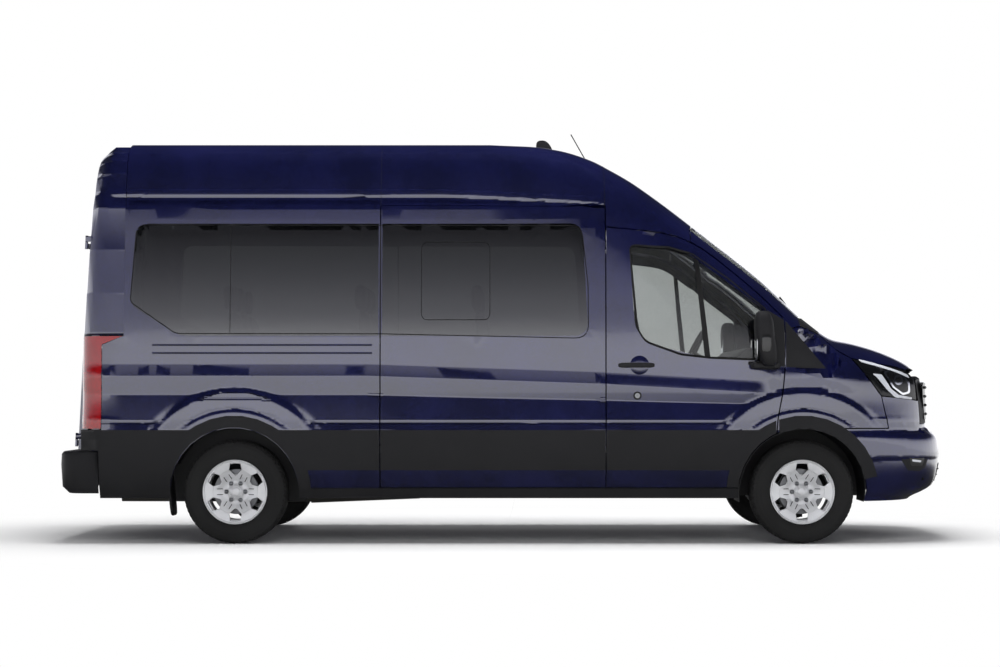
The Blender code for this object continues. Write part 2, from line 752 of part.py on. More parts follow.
def mirror(hand, side, body_name):
    """Tall housing on a stubby arm that stands on the door's front corner."""
    housing = rounded([
        (side * MIRROR_IN_Y, MIRROR_BOTTOM_Z, MIRROR_CORNER), (side * MIRROR_OUT_Y, MIRROR_BOTTOM_Z, 2 * MIRROR_CORNER),
        (side * MIRROR_OUT_Y, MIRROR_TOP_Z, 2 * MIRROR_CORNER), (side * MIRROR_IN_Y, MIRROR_TOP_Z, MIRROR_CORNER),
    ])
    back_x, front_x = MIRROR_ARM_X - MIRROR_DEPTH / 2, MIRROR_ARM_X + MIRROR_DEPTH / 2
    mesh = extruded(housing, back_x, front_x, "X")
    foot = rounded([
        (MIRROR_ARM_X - MIRROR_FOOT / 2, MIRROR_ARM_Z - MIRROR_ARM, MIRROR_ARM / 2),
        (MIRROR_ARM_X + MIRROR_FOOT / 2, MIRROR_ARM_Z - MIRROR_ARM, MIRROR_ARM / 2),
        (MIRROR_ARM_X + MIRROR_FOOT / 3, MIRROR_ARM_Z + MIRROR_ARM, MIRROR_ARM / 2),
        (MIRROR_ARM_X - MIRROR_FOOT / 2, MIRROR_ARM_Z + MIRROR_ARM, MIRROR_ARM / 2),
    ])
    behind = min(skin_y(foot[:, 0], foot[:, 1])) - TRIM
    arm = extruded(foot, side * behind, side * (MIRROR_IN_Y + MIRROR_ARM))
    on = seat_for([body_name], *cladding_ways(side))
    part("mirror_" + hand, mesh, "black_plastic", body_name, joined=[arm], cut=on)


# Sliding door, on the right only
OPENING_PANE_REAR = 0.272
OPENING_PANE_WIDTH = 0.452
OPENING_PANE_BOTTOM_Z = 1.478
OPENING_PANE_TOP_Z = 1.992


def sliding_door():
    """The right loading door. It stays shut: it moves out and then back, which one joint can't give."""
    gap = SHUT_GAP / 2
    loop = np.array([
        (C_LINE_X + gap, SILL_Z + gap), (B_LINE_X - gap, SILL_Z + gap),
        (B_LINE_X - gap, LEDGE_BOTTOM_Z - gap), (C_LINE_X + gap, LEDGE_BOTTOM_Z - gap),
    ])
    glass = band_outline(C_LINE_X + 3 * gap, BAND_FRONT_X, False, True)
    chart = side_point(-1)
    part("sliding_door", panel_mesh(loop, [glass], chart, DOOR_WALL, SKIN_SPACING), "paint")
    part("sliding_door_glass", panel_mesh(shrunk(glass, REST), [], chart, GLASS, SKIN_SPACING), "dark_glass")
    rear, front = C_LINE_X + gap + EDGE_BACK, B_LINE_X - gap - EDGE_BACK
    band = np.array([(rear, CLAD_BOTTOM_Z), (front, CLAD_BOTTOM_Z), (front, CLAD_TOP_Z), (rear, CLAD_TOP_Z)])
    cladding("sliding_door_moulding", band, -1, ["sliding_door"])


def side_walls():
    """The fixed side walls behind the front doors, with the rear wheel arch cut in their lower edge."""
    centre = ARCH_CENTRES["rear"]
    low_angle = arch_cut("rear", ARCH_RADIUS, SILL_Z)
    wheel = arc(centre, ARCH_RADIUS, low_angle, 180 - low_angle)
    top = LEDGE_BOTTOM_Z - SEAM
    fronts = {"right": C_LINE_X - SHUT_GAP / 2, "left": B_LINE_X - SHUT_GAP / 2}
    for hand, side in SIDES:
        front = fronts[hand]
        rear_low = (REAR_FACE_X + CORNER_RADIUS, SILL_Z)
        loop = np.array([
            (front, SILL_Z), (front, top), (D_LINE_X + SEAM, top), (D_LINE_X + SEAM, LAMP_TOP_Z + SEAM),
            (LAMP_FRONT_X, LAMP_TOP_Z - LAMP_DROP), (LAMP_FRONT_X, LAMP_BOTTOM_Z), rear_low, *wheel[::-1],
        ])
        band_front = front - SHUT_GAP if hand == "right" else BAND_FRONT_X
        glass = band_outline(BAND_REAR_X, band_front, True, hand == "left")
        part("side_wall_" + hand, panel_mesh(loop, [glass], side_point(side), WALL, SKIN_SPACING), "paint")
        part("side_glass_" + hand, panel_mesh(shrunk(glass, REST), [], side_point(side), GLASS, SKIN_SPACING),
             "dark_glass")


def lower_trim():
    """The black rear quarter, wheel-arch flare and sill strip of each side."""
    centre = ARCH_CENTRES["rear"]
    front_centre = ARCH_CENTRES["front"]
    strip_front = front_centre[0] - math.sqrt(ARCH_RADIUS**2 - (SILL_Z - front_centre[1]) ** 2)
    for hand, side in SIDES:
        clad_front = (C_LINE_X if hand == "right" else B_LINE_X) - SHUT_GAP / 2 - EDGE_BACK
        inner = ARCH_RADIUS + 3 * EDGE_BACK
        low = arch_cut("rear", inner, TRIM_BOTTOM_Z)
        wheel = arc(centre, inner, 180 - low, low)
        top = arc(centre, FLARE_RADIUS, arch_cut("rear", FLARE_RADIUS, CLAD_TOP_Z),
                  180 - arch_cut("rear", FLARE_RADIUS, CLAD_TOP_Z))
        flare_front = arc(centre, FLARE_RADIUS, arch_cut("rear", FLARE_RADIUS, SILL_Z - 2 * REST),
                          arch_cut("rear", FLARE_RADIUS, CLAD_BOTTOM_Z))
        rear = REAR_FACE_X + CORNER_RADIUS + EDGE_BACK
        corner, low_end = REAR_FACE_X + CORNER_RADIUS * (1 - math.pi / 2), REAR_BUMPER_TOP_Z + SEAM_GAP
        loop = np.array([
            (strip_front, SILL_Z - 2 * REST), *flare_front, (clad_front, CLAD_BOTTOM_Z), (clad_front, CLAD_TOP_Z),
            *top, (corner, CLAD_TOP_Z), (corner, low_end), (rear, low_end), (rear, TRIM_BOTTOM_Z), *wheel,
            (strip_front, TRIM_BOTTOM_Z),
        ])
        cladding("lower_trim_" + hand, loop, side, ["side_wall_" + hand])


# Roof, windscreen and pillars share one chart: turn runs from 0 at the right shoulder over the top to pi
TURN_SCALE = 2.0
CHART_SEAM = 0.006
PILLAR_GAP = 0.007
SCREEN_EDGE_SHARE = 0.80
SCREEN_TOP_BOW = 0.10
SCREEN_BASE_BOW = 0.16
BONNET_BASE_BOW = 0.17
SCREEN_TOP_X = at_fall(SCREEN_TOP_SHARE)
SCREEN_BASE_X = at_fall(SCREEN_BASE_SHARE)
BONNET_REAR_X = at_fall(BONNET_REAR_SHARE)
PILLAR_FOOT_X = SCREEN_BASE_X - SCREEN_BASE_BOW * SCREEN_EDGE_SHARE**2
PILLAR_FOOT_SHARE = 0.90


def section_point(x, scaled):
    """Skin chart over the top of the vehicle."""
    turn = np.clip(scaled / TURN_SCALE, 0, math.pi)
    power = round_curve(fall_share(x))
    low, top = shoulder_z(x), roof_line(x)
    z = low + (top - low) * np.maximum(np.sin(turn), 0) ** (2 / power)
    wide = side_profile(x, z) * nose_taper(x, z)
    return np.stack([x, -np.sign(np.cos(turn)) * np.abs(np.cos(turn)) ** (2 / power) * wide, z], -1)


def turn_at_height(x, z):
    low, top = shoulder_z(x), roof_line(x)
    rise = np.clip((z - low) / (top - low), 0, 1)
    return TURN_SCALE * np.arcsin(rise ** (round_curve(fall_share(x)) / 2))


def turn_at_share(x, share):
    """The turn where the skin is this share of its width from the centre line, on the right."""
    return TURN_SCALE * np.arccos(share ** (round_curve(fall_share(x)) / 2))


def other_side(loop):
    """The same chart outline on the left."""
    return np.stack([loop[:, 0], TURN_SCALE * math.pi - loop[:, 1]], -1)[::-1]


def on_side(places, side):
    """Places of the right side's roof chart, carried to the side asked for."""
    places = np.array(places, float)
    return places if side < 0 else np.stack([places[:, 0], TURN_SCALE * math.pi - places[:, 1]], -1)


def bowed(x, bow, share):
    """An edge across the vehicle that is swept back from the centre line to the sides."""
    return x - bow * share**2


def door_top_line(start, end, count, gap):
    """Places along the front door's top edge, in the roof's chart, from one x to another."""
    places = door_top_places(start, end, count)
    return np.stack([places[:, 0], turn_at_height(places[:, 0], places[:, 1] + gap)], -1)


ROOF_LEVEL_SHARES = (0.265, 0.35, 0.45, 0.55, 0.66, 0.80, 1.0)
SCREEN_SIDE_SHARES = (0.0, 0.3, 0.5, 0.66, 0.80)


def roof():
    """The high roof with the ledge above the doors, from the rear frame to the windscreen."""
    gap = SHUT_GAP / 2
    rear = D_LINE_X + SEAM
    right = [(x, float(turn_at_height(x, LEDGE_BOTTOM_Z))) for x in np.linspace(rear, B_LINE_X, 12)]
    right += list(door_top_line(B_LINE_X, bowed(SCREEN_TOP_X, SCREEN_TOP_BOW, SCREEN_EDGE_SHARE), 7, gap))
    edge = []
    for share in SCREEN_SIDE_SHARES[::-1]:
        x = bowed(SCREEN_TOP_X, SCREEN_TOP_BOW, share)
        edge.append((x, turn_at_share(x, share)))
    half = np.array(right + edge)
    loop = np.concatenate([half, other_side(half[:-1])])
    levels = [TURN_SCALE * math.pi / 2 * share for share in ROOF_LEVEL_SHARES]
    levels += [TURN_SCALE * math.pi - level for level in levels[-2::-1]]
    mesh = panel_mesh(shrunk(loop, CHART_SEAM / 2), [], section_point, ROOF_WALL, ROOF_SPACING, DOOR_LIP, levels=levels)
    inner = float(skin_y(C_LINE_X, LEDGE_BOTTOM_Z)) - WALL
    rails = []
    for _, side in SIDES:
        near, far = spread(side, inner - CANT_RAIL_DEEP, inner + CANT_RAIL_DEEP)
        rails.append(block((rear + OVERRUN, near, LEDGE_BOTTOM_Z - CANT_RAIL_HALF),
                           (B_LINE_X - CANT_RAIL_SHORT, far, LEDGE_BOTTOM_Z + CANT_RAIL_HALF)))
    cut = [seat for hand, side in SIDES for seat in seat_for(["side_wall_" + hand], (0, -side, 1))]
    cut += seat_for(["sliding_door"], (0, 1, 1))
    part("roof", mesh, "paint", joined=rails, cut=cut)


def windscreen():
    """One wide curved pane with its dark border, between the roof, the pillars and the cowl."""
    top, base = [], []
    for share in SCREEN_SIDE_SHARES:
        x = bowed(SCREEN_TOP_X, SCREEN_TOP_BOW, share)
        top.append((x, turn_at_share(x, share)))
        x = bowed(SCREEN_BASE_X, SCREEN_BASE_BOW, share)
        base.append((x, turn_at_share(x, share)))
    half = np.array(base[1:] + top[::-1])
    loop = np.concatenate([half, other_side(half[:-1]), other_side(np.array(base[:1]))])
    mesh = panel_mesh(shrunk(loop, CHART_SEAM), [], section_point, GLASS, ROOF_SPACING)
    part("windscreen", mesh, "clear_glass")


def screen_side(x):
    return x, float(turn_at_share(x, SCREEN_EDGE_SHARE))


GLAZING_BARS = 3


def a_pillars():
    """Each pillar beside the windscreen, above the front door's slanting edge."""
    top_x = bowed(SCREEN_TOP_X, SCREEN_TOP_BOW, SCREEN_EDGE_SHARE)
    base_x = PILLAR_FOOT_X
    door = door_top_line(top_x, DOOR_FRONT_X - DOOR_LIP, 9, PILLAR_GAP)
    inner = [screen_side(x) for x in np.linspace(base_x, top_x, 6)]
    foot_x = DOOR_FRONT_X + SHUT_GAP / 2
    foot = [(foot_x, turn_at_height(foot_x, FENDER_TOP_Z))]
    foot += [(base_x, float(turn_at_share(base_x, PILLAR_FOOT_SHARE)))]
    half = np.array([*door, *foot, *inner])
    glazing = [screen_side(x) for x in np.linspace(base_x - TAB_HALF, top_x + TAB_HALF, GLAZING_BARS + 1)]
    under_roof = [screen_side(top_x + 2 * TAB_HALF), screen_side(top_x - 2 * TAB_HALF)]
    for hand, side in SIDES:
        loop = half if side < 0 else other_side(half)
        mesh = panel_mesh(shrunk(loop, CHART_SEAM / 2), [], section_point, WALL, PILLAR_SPACING, DOOR_LIP)
        places = on_side(glazing, side)
        joined = [bar(section_point, *pair, GLASS + BAR_RADIUS) for pair in zip(places[:-1], places[1:])]
        joined.append(bar(section_point, *on_side(under_roof, side), WALL))
        cut = seat_for(["windscreen"], (0, side, -1)) + seat_for(["roof"], (1, 0, -1))
        part("a_pillar_" + hand, mesh, "paint", joined=joined, cut=cut)



# Bonnet, wings, nose and lamps
SEAM_GAP = 0.004
BONNET_SIDE = smooth_table((
    # along the vehicle, out from the centre line
    (2.100, 0.770), (2.200, 0.855), (2.302, 0.893), (2.450, 0.872), (2.600, 0.805), (2.690, 0.750),
))
BONNET_FRONT = smooth_table(((0.000, 2.826), (0.300, 2.816), (0.500, 2.792), (0.680, 2.740), (0.750, 2.690)))
BONNET_CORNER_X = 2.100
BONNET_END_X = 2.690
BONNET_REAR_BOW = BONNET_REAR_X - BONNET_CORNER_X
BONNET_WALL = 0.022
BONNET_SPACING = 0.17
LAMP_REAR_X = 2.302
LAMP_OUTLINE = ((2.752, 1.088), (2.764, 0.948), (2.497, 0.977))
WING_SEAM_X = 2.543
SEAM_START_X = 2.240
SEAM_START_DEG = 60
WING_SEAM_Z = 0.763
GRILLE_BOTTOM_Z = 0.790
GRILLE_SIDE_Z = 1.088
GRILLE_TOP_Z = 1.118
BUMPER_BOTTOM_Z = 0.275
BUMPER_WALL = 0.012
NOSE_SPACING = 0.17
BUMPER_LEVELS = (0.33, 0.364, 0.45, 0.55, 0.65, 0.72, 0.745, 0.88)


def front_point(y, z):
    """Skin chart of the front face: the furthest forward place at this distance out and height."""
    y, z = np.broadcast_arrays(np.asarray(y, float), np.asarray(z, float))
    low, high = np.full(y.shape, NOSE_START_X), face_x(z)
    for _ in range(30):
        middle = (low + high) / 2
        wide = skin_y(middle, z) > np.abs(y)
        low, high = np.where(wide, middle, low), np.where(wide, high, middle)
    return np.stack([low, y, z], -1)


GRILLE_SIDE_GAP = 0.0078
GRILLE_HALF = float(skin_y(*LAMP_OUTLINE[0])) - GRILLE_SIDE_GAP


def bonnet_side_line(start, end, count):
    x = np.linspace(start, end, count)
    return np.stack([x, BONNET_SIDE(x)], -1)


BONNET_AXIS_BACK = 0.121
BONNET_AXIS_X = BONNET_REAR_X - BONNET_AXIS_BACK
BONNET_AXIS_DROP = 0.003
BONNET_AXIS_Z = float(roof_line(BONNET_REAR_X)) - BONNET_AXIS_DROP
BONNET_HINGE_Y = 0.450
HINGE_ARM_HALF = 0.006
HINGE_ARM_DEPTH = 0.008
HINGE_BOSS = 0.012
HINGE_ARM_DROP = 0.065
HINGE_FOOT_X = BONNET_REAR_X + 0.034
HINGE_SLOT_X = BONNET_REAR_X - 0.081
HINGE_ROOM = 0.008


def hinge_arm(side):
    """A bonnet hinge's bent arm: from its boss on the axis, down under the cowl's edge and up to the bonnet."""
    low, high = BONNET_AXIS_Z - HINGE_ARM_DROP - HINGE_ARM_DEPTH, BONNET_AXIS_Z - HINGE_ARM_DROP + HINGE_ARM_DEPTH
    top = float(skin_z(HINGE_FOOT_X, BONNET_HINGE_Y)) - BONNET_WALL / 2
    bend_x = BONNET_AXIS_X + HINGE_ARM_DROP
    boss = arc((BONNET_AXIS_X, BONNET_AXIS_Z), HINGE_BOSS, 60, 240)
    outline = [
        *boss, (bend_x - HINGE_ARM_DEPTH, low), (HINGE_FOOT_X + HINGE_ARM_DEPTH, low),
        (HINGE_FOOT_X + HINGE_ARM_DEPTH, top), (HINGE_FOOT_X - HINGE_ARM_DEPTH, top),
        (HINGE_FOOT_X - HINGE_ARM_DEPTH, high), (bend_x, high),
    ]
    return extruded(np.array(outline), *spread(side, BONNET_HINGE_Y - HINGE_ARM_HALF, BONNET_HINGE_Y + HINGE_ARM_HALF))


def bonnet():
    """The short bonnet, hung on two bent arms whose axis lies under the cowl."""
    body("bonnet", (BONNET_AXIS_X, 0, BONNET_AXIS_Z))
    side = bonnet_side_line(BONNET_CORNER_X, BONNET_END_X, 7)
    across = np.linspace(BONNET_SIDE(BONNET_END_X), 0, 5)
    front = np.stack([BONNET_FRONT(across), across], -1)[1:]
    back = np.linspace(0, BONNET_SIDE(BONNET_CORNER_X), 4)[:-1]
    rear = np.stack([BONNET_REAR_X - BONNET_REAR_BOW * (back / back[-1] * 0.667) ** 2, back], -1)
    half = np.concatenate([rear, side, front])
    loop = np.concatenate([half, (half * [1, -1])[-2:0:-1]])
    mesh = panel_mesh(shrunk(loop, SHUT_GAP / 2), [], top_point, BONNET_WALL, BONNET_SPACING, DOOR_LIP)
    part("bonnet", mesh, "paint", "bonnet", joined=[hinge_arm(side) for _, side in SIDES])


def cowl():
    """The black panel between the windscreen and the bonnet, which carries the wipers."""
    base = []
    for share in SCREEN_SIDE_SHARES:
        x = bowed(SCREEN_BASE_X, SCREEN_BASE_BOW, share)
        base.append(section_point(np.array([x]), turn_at_share(np.array([x]), share))[0, :2])
    base = np.array(base) * [1, -1]
    foot = section_point(np.array([PILLAR_FOOT_X]), turn_at_share(np.array([PILLAR_FOOT_X]), PILLAR_FOOT_SHARE))[0]
    back = np.linspace(BONNET_SIDE(BONNET_CORNER_X), 0, 4)
    rear = np.stack([BONNET_REAR_X - BONNET_REAR_BOW * (back / back[0]) ** 2, back], -1)
    half = np.concatenate([base, [(foot[0], abs(foot[1]))], rear])
    loop = np.concatenate([half, (half * [1, -1])[-2:0:-1]])
    mesh = panel_mesh(shrunk(loop, SEAM_GAP), [], top_point, BONNET_WALL, BONNET_SPACING, DOOR_LIP)
    joined, cut = [], []
    for _, side in SIDES:
        cheek = BONNET_HINGE_Y + HINGE_ARM_HALF + PIN_PLAY
        under = float(skin_z(BONNET_AXIS_X, cheek)) - BONNET_WALL / 2
        near, far = spread(side, cheek, cheek + 2 * HINGE_ARM_HALF)
        joined.append(block((BONNET_AXIS_X - HINGE_BOSS, near, BONNET_AXIS_Z - HINGE_BOSS),
                            (BONNET_AXIS_X + HINGE_BOSS, far, under)))
        near, far = spread(side, BONNET_HINGE_Y - HINGE_ARM_HALF - HINGE_ROOM, cheek)
        cut.append(block((HINGE_SLOT_X, near, BONNET_AXIS_Z - HINGE_ARM_DROP), (BONNET_REAR_X + OVERRUN, far, under + WALL)))
    joined.append(bar(top_point, (SCREEN_BASE_X, -5 * TAB_HALF), (SCREEN_BASE_X, 5 * TAB_HALF), GLASS + BAR_RADIUS))
    part("cowl", mesh, "black_plastic", joined=joined, cut=cut + seat_for(["windscreen"], (1, 0, -1)))


HINGE_LEAF_HEIGHTS = (0.92, 1.20)
HINGE_LEAF_HALF = 0.030
HINGE_LEAF_IN = 0.012
COWL_TAB_X = 2.030


def hinge_leaf(side, z):
    """The fixed half of a door hinge, which fills the shut gap behind the skin."""
    skin = float(skin_y(DOOR_FRONT_X, z))
    near, far = spread(side, skin - WALL + HINGE_LEAF_IN, skin - HINGE_LEAF_IN)
    return block((DOOR_FRONT_X - SHUT_GAP, near, z - HINGE_LEAF_HALF), (DOOR_FRONT_X + SHUT_GAP, far, z + HINGE_LEAF_HALF))


def wings():
    """The front wings, between door, pillar foot, bonnet, lamp and bumper, over the wheel arch."""
    gap = SHUT_GAP / 2
    door = [door_place(a, h) for a, h in DOOR_FRONT_SHARES]
    wheel = arc(ARCH_CENTRES["front"], ARCH_RADIUS, door_foot_angle(ARCH_RADIUS, 0), SEAM_START_DEG)
    seam = bonnet_side_line(LAMP_REAR_X, BONNET_CORNER_X, 4)
    top = [(x, float(skin_z(x, y))) for x, y in seam]
    foot = section_point(np.array([PILLAR_FOOT_X]), turn_at_share(np.array([PILLAR_FOOT_X]), PILLAR_FOOT_SHARE))[0]
    foot_y = abs(foot[1])
    loop = np.array([
        (DOOR_FRONT_X, FENDER_TOP_Z), *door, *wheel, (SEAM_START_X, WING_SEAM_Z), (WING_SEAM_X, WING_SEAM_Z),
        LAMP_OUTLINE[-1], *top, (foot[0], foot[2]),
    ])
    for hand, side in SIDES:
        chart = side_point(side)
        mesh = panel_mesh(shrunk(loop, gap), [], chart, WALL, SKIN_SPACING, DOOR_LIP)
        joined = [hinge_leaf(side, z) for z in HINGE_LEAF_HEIGHTS]
        joined.append(tab(chart, (DOOR_FRONT_X + 2 * TAB_HALF, FENDER_TOP_Z), WALL, 1))
        across = [(COWL_TAB_X, side * share * float(foot_y)) for share in (0.97, 0.84)]
        joined.append(bar(top_point, *across, BONNET_WALL + BAR_RADIUS / 2))
        cut = seat_for(["front_door_" + hand], (1, 0, 0)) + seat_for(["a_pillar_" + hand], (0, -side, -1))
        part("wing_" + hand, mesh, "paint", joined=joined, cut=cut + seat_for(["cowl"], (0, side, -1)))


def headlamps():
    """The swept lamps, as closed shells as deep as their housings."""
    seam = bonnet_side_line(LAMP_REAR_X, BONNET_END_X, 5)
    top = [(x, float(skin_z(x, y))) for x, y in seam]
    loop = np.array([*top, *LAMP_OUTLINE])
    seam_middle = (np.array(top[0]) + np.array(LAMP_OUTLINE[-1])) / 2
    for hand, side in SIDES:
        mesh = panel_mesh(shrunk(loop, SEAM_GAP), [], side_point(side), WALL, SKIN_SPACING, DOOR_LIP)
        fixing = tab(side_point(side), seam_middle, WALL, 1)
        part("headlamp_" + hand, mesh, "lamp_lens", joined=[fixing],
             cut=seat_for(["wing_" + hand], (1, -side, 1), (1, -side, -1)))


def grille():
    """The black grille between the lamps, above the bumper."""
    loop = rounded([
        (-GRILLE_HALF, GRILLE_BOTTOM_Z, SEAM_GAP), (GRILLE_HALF, GRILLE_BOTTOM_Z, SEAM_GAP),
        (GRILLE_HALF, GRILLE_SIDE_Z, SEAM_GAP), (GRILLE_HALF / 2, GRILLE_TOP_Z, GRILLE_HALF),
        (-GRILLE_HALF / 2, GRILLE_TOP_Z, GRILLE_HALF), (-GRILLE_HALF, GRILLE_SIDE_Z, SEAM_GAP),
    ], 2)
    mesh = panel_mesh(shrunk(loop, SEAM_GAP), [], front_point, BONNET_WALL, NOSE_SPACING, DOOR_LIP)
    part("grille", mesh, "black_plastic")


def front_bumper():
    """The painted bumper, wrapped round the nose from wheel arch to wheel arch."""
    centre = ARCH_CENTRES["front"]
    start = arch_cut("front", ARCH_RADIUS, BUMPER_BOTTOM_Z)
    wheel = arc(centre, ARCH_RADIUS, start, SEAM_START_DEG)
    side = [*wheel, (SEAM_START_X, WING_SEAM_Z), (WING_SEAM_X, WING_SEAM_Z), LAMP_OUTLINE[-1], LAMP_OUTLINE[-2]]
    side = [(float(nose_turn(x, z)), z) for x, z in side]
    side_top = LAMP_OUTLINE[-2][1]
    edge = front_point(np.array([GRILLE_HALF]), np.array([GRILLE_BOTTOM_Z]))[0]
    high = front_point(np.array([GRILLE_HALF]), np.array([side_top]))[0]
    ends = [(float(nose_turn(high[0], side_top)), side_top), (float(nose_turn(edge[0], edge[2])), edge[2])]
    half = np.array([*side, *ends])
    loop = np.concatenate([half, (half * [-1, 1])[::-1]])
    mesh = panel_mesh(shrunk(loop, SEAM_GAP), [], nose_point, BUMPER_WALL, NOSE_SPACING, levels=BUMPER_LEVELS)
    ends = spread(1, -GRILLE_HALF / 2, GRILLE_HALF / 2)
    fixings = [tab(front_point, (y, GRILLE_BOTTOM_Z), BUMPER_WALL + TAB_DEEP / 2, 0) for y in ends]
    part("front_bumper", mesh, "paint", joined=fixings, cut=seat_for(["grille"], (-1, 0, -1)))


# The rear: an end cap with the door frame, two doors, lamps and bumper
FRAME_LAND = 0.006
FRAME_WIDTH = CORNER_RADIUS + FRAME_LAND
REAR_DOOR_HALF = 0.862
REAR_GLASS_BOTTOM_Z = 1.42
REAR_GLASS_TOP_Z = 2.09
REAR_GLASS_EDGE = 0.10
REAR_WALL_SPACING = 0.2
HINGE_OUT = 0.012
HINGE_BARREL = 0.010
HINGE_HALF = 0.045
HINGE_STRAP = 0.004
HINGE_HEIGHTS = (REAR_DOOR_BOTTOM_Z + 0.062, 2.000)
HINGE_PLATE = 0.012
HINGE_FOOT_IN = 0.018
REAR_DOOR_EDGE = REAR_DOOR_HALF - 0.004
POST_FRONT = 0.115
POST_REAR = 0.062
POST_OUT = 0.045


def rear_x(z):
    return REAR_FACE_X + REAR_LEAN * (z - LAMP_TOP_Z)


def rear_point(y, z):
    return np.stack([rear_x(z) + 0 * y, y, z], -1)


def rear_section(inset, count):
    """Places (y, z) on the body's section at its rear end, moved in square to it, from the right sill up."""
    heights = np.linspace(LAMP_TOP_Z + SEAM_GAP, LEDGE_BOTTOM_Z, 4)
    x = D_LINE_X
    turns = np.linspace(float(turn_at_height(x, LEDGE_TOP_Z)), TURN_SCALE * math.pi / 2, count)
    low = [(-float(skin_y(x, z)), z) for z in heights]
    high = [tuple(section_point(np.array([x]), np.array([t]))[0, 1:]) for t in turns]
    half = np.array(low + high)
    full = np.concatenate([half, (half * [-1, 1])[-2::-1]])
    along = np.gradient(full, axis=0)
    normal = np.stack([along[:, 1], -along[:, 0]], -1)
    normal[0], normal[-1] = (1, 0), (-1, 0)
    normal /= np.linalg.norm(normal, axis=1)[:, None]
    return full + normal * inset, full, normal


def hinge_place(side, z):
    """A place on a rear door's hinge line, which leans with the rear face."""
    return float(rear_x(z)) - HINGE_OUT, side * REAR_DOOR_HALF, z


def rear_hinge(side, z, fixed):
    """Half of a rear door hinge: its barrel on the hinge line, and the plate or strap that carries it."""
    start, end = (z + PIN_PLAY / 2, z + HINGE_HALF) if fixed else (z - HINGE_HALF, z - PIN_PLAY / 2)
    barrel = rod(hinge_place(side, start), hinge_place(side, end), HINGE_BARREL, 12)
    low, high = start + HINGE_STRAP, end - HINGE_STRAP
    face, axis = float(rear_x(z)), float(rear_x(z)) - HINGE_OUT
    if fixed:
        near, far = spread(side, REAR_DOOR_HALF + NUDGE, REAR_DOOR_HALF + NUDGE + HINGE_PLATE)
        front = face + POST_FRONT if z < LAMP_TOP_Z else face + WALL / 2
        return [barrel, block((axis - HINGE_STRAP, near, low), (front, far, high))]
    inner = REAR_DOOR_EDGE - WALL
    near, far = spread(side, inner - WALL, REAR_DOOR_HALF)
    strap = block((axis - HINGE_STRAP, near, low), (axis + HINGE_STRAP, far, high))
    near, far = spread(side, inner - WALL, inner - HINGE_FOOT_IN)
    return [barrel, strap, block((axis - HINGE_STRAP, near, low), (face + HINGE_STRAP, far, high))]


def rear_frame():
    """The end cap of the roof and the posts beside the rear doors, which run down behind the lamps to the floor."""
    _, full, normal = rear_section(0, 7)
    rows = []
    for turn in np.radians((0, 30, 60, 90)):
        rows.append((CORNER_RADIUS * math.sin(turn), CORNER_RADIUS * (1 - math.cos(turn))))
    outer = [np.stack([np.full(len(full), D_LINE_X), full[:, 0], full[:, 1]], -1)]
    for back, inset in rows:
        place = full + normal * inset
        outer.append(np.stack([rear_x(place[:, 1]) + CORNER_RADIUS - back, place[:, 0], place[:, 1]], -1))
    place = full + normal * FRAME_WIDTH
    outer.append(np.stack([rear_x(place[:, 1]), place[:, 0], place[:, 1]], -1))
    insets = [0, *[inset for _, inset in rows], FRAME_WIDTH]
    inner = []
    for k, row in enumerate(outer):
        if k == len(rows):
            continue  # the ring after it closes the land
        shift = np.zeros((len(full), 3))
        share = max(k - 1, 0) / len(rows)
        shift[:, 0] = WALL * share
        shift[:, 1:] = normal * min(WALL * (1 - share / 2), FRAME_WIDTH - insets[k])
        inner.append(row + shift)
    joined = []
    for _, side in SIDES:
        near, far = spread(side, REAR_DOOR_HALF + NUDGE, REAR_DOOR_HALF + POST_OUT)
        joined.append(block((REAR_FACE_X + POST_REAR, near, FLOOR_Z + REST),
                            (REAR_FACE_X + POST_FRONT, far, LAMP_TOP_Z + FRAME_WIDTH)))
        for z in HINGE_HEIGHTS:
            joined += rear_hinge(side, z, True)
    part("rear_frame", loft(outer + inner[::-1]), "paint", joined=joined)


def loft(rings):
    """A closed body from rings of the same number of places, each ring joined to the next and the last to the first."""
    points = np.array(rings)
    rows, columns = points.shape[:2]
    index = np.arange(rows * columns).reshape(rows, columns)
    faces = []
    for i in range(rows):
        n = (i + 1) % rows
        for j in range(columns - 1):
            faces.append((index[i, j], index[i, j + 1], index[n, j + 1], index[n, j]))
    faces += [tuple(index[:, 0]), tuple(index[::-1, -1])]
    return points.reshape(-1, 3), faces


